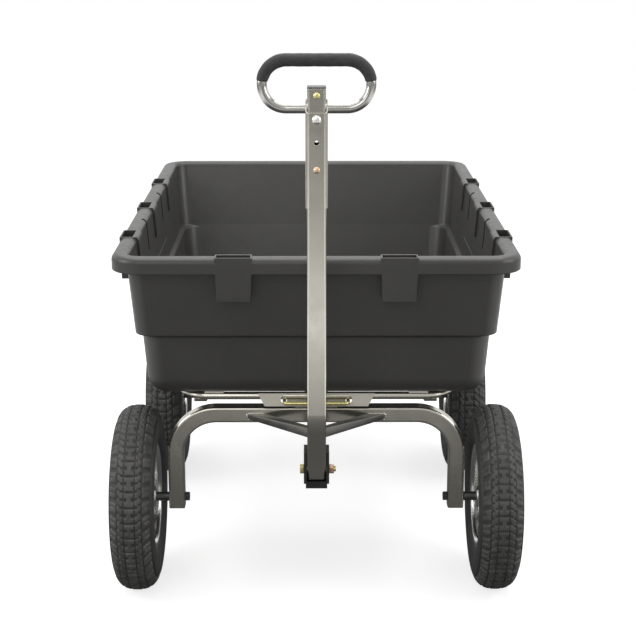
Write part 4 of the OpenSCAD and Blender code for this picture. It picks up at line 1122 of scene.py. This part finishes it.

# Greys along a span, as (place from 0 to 1, grey). The floor glows more away from the cart, so that no
# horizon shows, and less near it, a painted shade that deepens the cart's shadow. What the steel mirrors is
# graded apart: from front to back, to both sides, and in the sky. Seen only in reflections, the floor carries
# painted light: a dark band near the cart is painted shade, and strips brighter than white at both sides are
# painted highlights.
GLOW = [(0.25, 0.72), (0.70, 0.80)]
# Dark near the cart: painted shade that the steel mirrors
REFLECTED_SHADE_FRONT_TO_BACK = [
    (0.0, 0.29), (0.20, 0.33), (0.39, 0.48), (0.50, 0.72), (0.555, 1.0), (0.622, 1.0), (0.652, 0.46),
    (0.70, 0.42), (0.735, 0.20), (0.78, 0.14), (0.825, 0.09), (0.95, 0.12)]
# Brighter than white at both sides: painted highlights that the steel mirrors
REFLECTED_GLOW_SIDES = [
    (0.25, 0.38), (0.322, 0.62), (0.367, 1.1), (0.417, 1.25), (0.455, 0.0),
    (0.545, 0.0), (0.583, 1.25), (0.633, 1.1), (0.678, 0.62), (0.75, 0.38)]
SKY_LIGHT = [(0.0, 0.5), (0.5, 0.9), (0.7, 1.0)]
SKY_MIRROR = [(0.0, 0.60), (0.45, 0.80), (0.7, 1.0)]
SKY_MIRROR_RISE = [(0.40, 0.42), (0.65, 1.0)]


def seen_rays(tree):
    """The light path, and a factor that is 1 for camera, glossy and transmission rays."""
    path = tree.nodes.new("ShaderNodeLightPath")
    seen = path.outputs["Is Camera Ray"]
    for other in ("Is Glossy Ray", "Is Transmission Ray"):
        seen = tree_max(tree, seen, path.outputs[other])
    return path, seen


def tree_max(tree, a, b):
    n = tree.nodes.new("ShaderNodeMath")
    n.operation = "MAXIMUM"
    tree.links.new(a, n.inputs[0])
    tree.links.new(b, n.inputs[1])
    return n.outputs[0]


def tree_mix(tree, fac, a, b):
    """Shader a where fac is 0 and b where it is 1."""
    n = tree.nodes.new("ShaderNodeMixShader")
    tree.links.new(fac, n.inputs["Fac"])
    tree.links.new(a, n.inputs[1])
    tree.links.new(b, n.inputs[2])
    return n.outputs[0]


def tree_ramp(tree, value, low, high, stops):
    """A grey that follows value from low to high; stops are (place, grey)."""
    span = tree.nodes.new("ShaderNodeMapRange")
    span.inputs["From Min"].default_value = low
    span.inputs["From Max"].default_value = high
    tree.links.new(value, span.inputs["Value"])
    ramp = tree.nodes.new("ShaderNodeValToRGB")
    elements = ramp.color_ramp.elements
    while len(elements) < len(stops):
        elements.new(0.5)
    for e, (place, grey) in zip(elements, stops):
        e.position = place
        e.color = (grey, grey, grey, 1)
    tree.links.new(span.outputs[0], ramp.inputs["Fac"])
    return ramp.outputs["Color"]


def build_floor():
    mesh = bpy.data.meshes.new("floor")
    corners = [(-1, -1), (1, -1), (1, 1), (-1, 1)]
    mesh.from_pydata([(x * FLOOR_HALF, y * FLOOR_HALF, 0) for x, y in corners], [], [[0, 1, 2, 3]])
    floor = link("floor", mesh)
    mat = bpy.data.materials.new("pale_floor")
    mat.use_nodes = True
    tree = mat.node_tree
    tree.nodes.clear()
    path, seen = seen_rays(tree)
    place = tree.nodes.new("ShaderNodeNewGeometry").outputs["Position"]
    spot = tree.nodes.new("ShaderNodeSeparateXYZ")
    tree.links.new(place, spot.inputs[0])
    away = tree.nodes.new("ShaderNodeVectorMath")
    away.operation = "LENGTH"
    tree.links.new(place, away.inputs[0])
    plain = tree.nodes.new("ShaderNodeBsdfDiffuse")
    plain.inputs["Color"].default_value = (BOUNCE, BOUNCE, BOUNCE, 1)
    catch = tree.nodes.new("ShaderNodeBsdfDiffuse")
    catch.inputs["Color"].default_value = (SHADOW_CATCH, SHADOW_CATCH, SHADOW_CATCH, 1)
    glow = tree.nodes.new("ShaderNodeEmission")
    tree.links.new(tree_ramp(tree, away.outputs["Value"], 0, 4, GLOW), glow.inputs["Color"])
    white = tree.nodes.new("ShaderNodeAddShader")
    tree.links.new(catch.outputs[0], white.inputs[0])
    tree.links.new(glow.outputs[0], white.inputs[1])
    # Glossy rays see the painted reflections: shade near the cart and glowing strips at the sides
    mirror = tree.nodes.new("ShaderNodeEmission")
    grey = tree_ramp(tree, spot.outputs["Y"], -FLOOR_HALF, 1, REFLECTED_SHADE_FRONT_TO_BACK)
    sides = tree_ramp(tree, spot.outputs["X"], -FLOOR_HALF, FLOOR_HALF, REFLECTED_GLOW_SIDES)
    tree.links.new(tree_max(tree, grey, sides), mirror.inputs["Color"])
    by_ray = tree_mix(tree, path.outputs["Is Glossy Ray"], white.outputs[0], mirror.outputs[0])
    shown = tree_mix(tree, seen, plain.outputs[0], by_ray)
    out = tree.nodes.new("ShaderNodeOutputMaterial")
    tree.links.new(shown, out.inputs["Surface"])
    mesh.materials.append(mat)


def build_world():
    world = bpy.data.worlds.new("studio")
    scene.world = world
    world.use_nodes = True
    tree = world.node_tree
    tree.nodes.clear()
    path = tree.nodes.new("ShaderNodeLightPath")
    way = tree.nodes.new("ShaderNodeSeparateXYZ")
    tree.links.new(tree.nodes.new("ShaderNodeTexCoord").outputs["Generated"], way.inputs[0])
    white = tree.nodes.new("ShaderNodeBackground")
    white.inputs["Color"].default_value = (1, 1, 1, 1)
    soft = tree.nodes.new("ShaderNodeBackground")
    soft.inputs["Strength"].default_value = SKY_STRENGTH
    tree.links.new(tree_ramp(tree, way.outputs["Y"], -1, 1, SKY_LIGHT), soft.inputs["Color"])
    mirror = tree.nodes.new("ShaderNodeBackground")
    tree.links.new(tree_ramp(tree, way.outputs["Y"], -1, 1, SKY_MIRROR), mirror.inputs["Color"])
    tree.links.new(tree_ramp(tree, way.outputs["Z"], -0.2, 0.2, SKY_MIRROR_RISE), mirror.inputs["Strength"])
    lit = tree_mix(tree, path.outputs["Is Glossy Ray"], soft.outputs[0], mirror.outputs[0])
    shown = tree_mix(tree, path.outputs["Is Camera Ray"], lit, white.outputs[0])
    out = tree.nodes.new("ShaderNodeOutputWorld")
    tree.links.new(shown, out.inputs["Surface"])


def area_light(name, place, target, size, watts):
    data = bpy.data.lights.new(name, "AREA")
    data.shape = "SQUARE"
    data.size = size
    data.energy = watts
    obj = link(name, data)
    obj.location = place
    obj.rotation_euler = (Vector(target) - Vector(place)).to_track_quat("-Z", "Y").to_euler()


def build_camera():
    """The photo's camera, as fitted to its outlines."""
    data = bpy.data.cameras.new("camera")
    data.sensor_width = 36.0
    data.lens = 84.906
    camera = link("camera", data)
    camera.location = (-0.0087, AXLE_Y * MM - 3.103, 1.445)
    camera.rotation_euler = (math.radians(90 - 15.05), 0, -0.004)
    scene.camera = camera


build_floor()
build_world()
area_light("overhead", (0, 0.4, 3.4), (0, 0.1, 0), 3.6, 95)
area_light("front_fill", (-1.2, -4.6, 2.8), (0, -0.3, 0.5), 2.4, 30)
for side in (-1, 1):
    area_light("side_box", (side * 3.0, -1.3, 2.0), (0, -0.2, 0.6), 2.0, 40)
build_camera()
scene.view_settings.view_transform = "Standard"
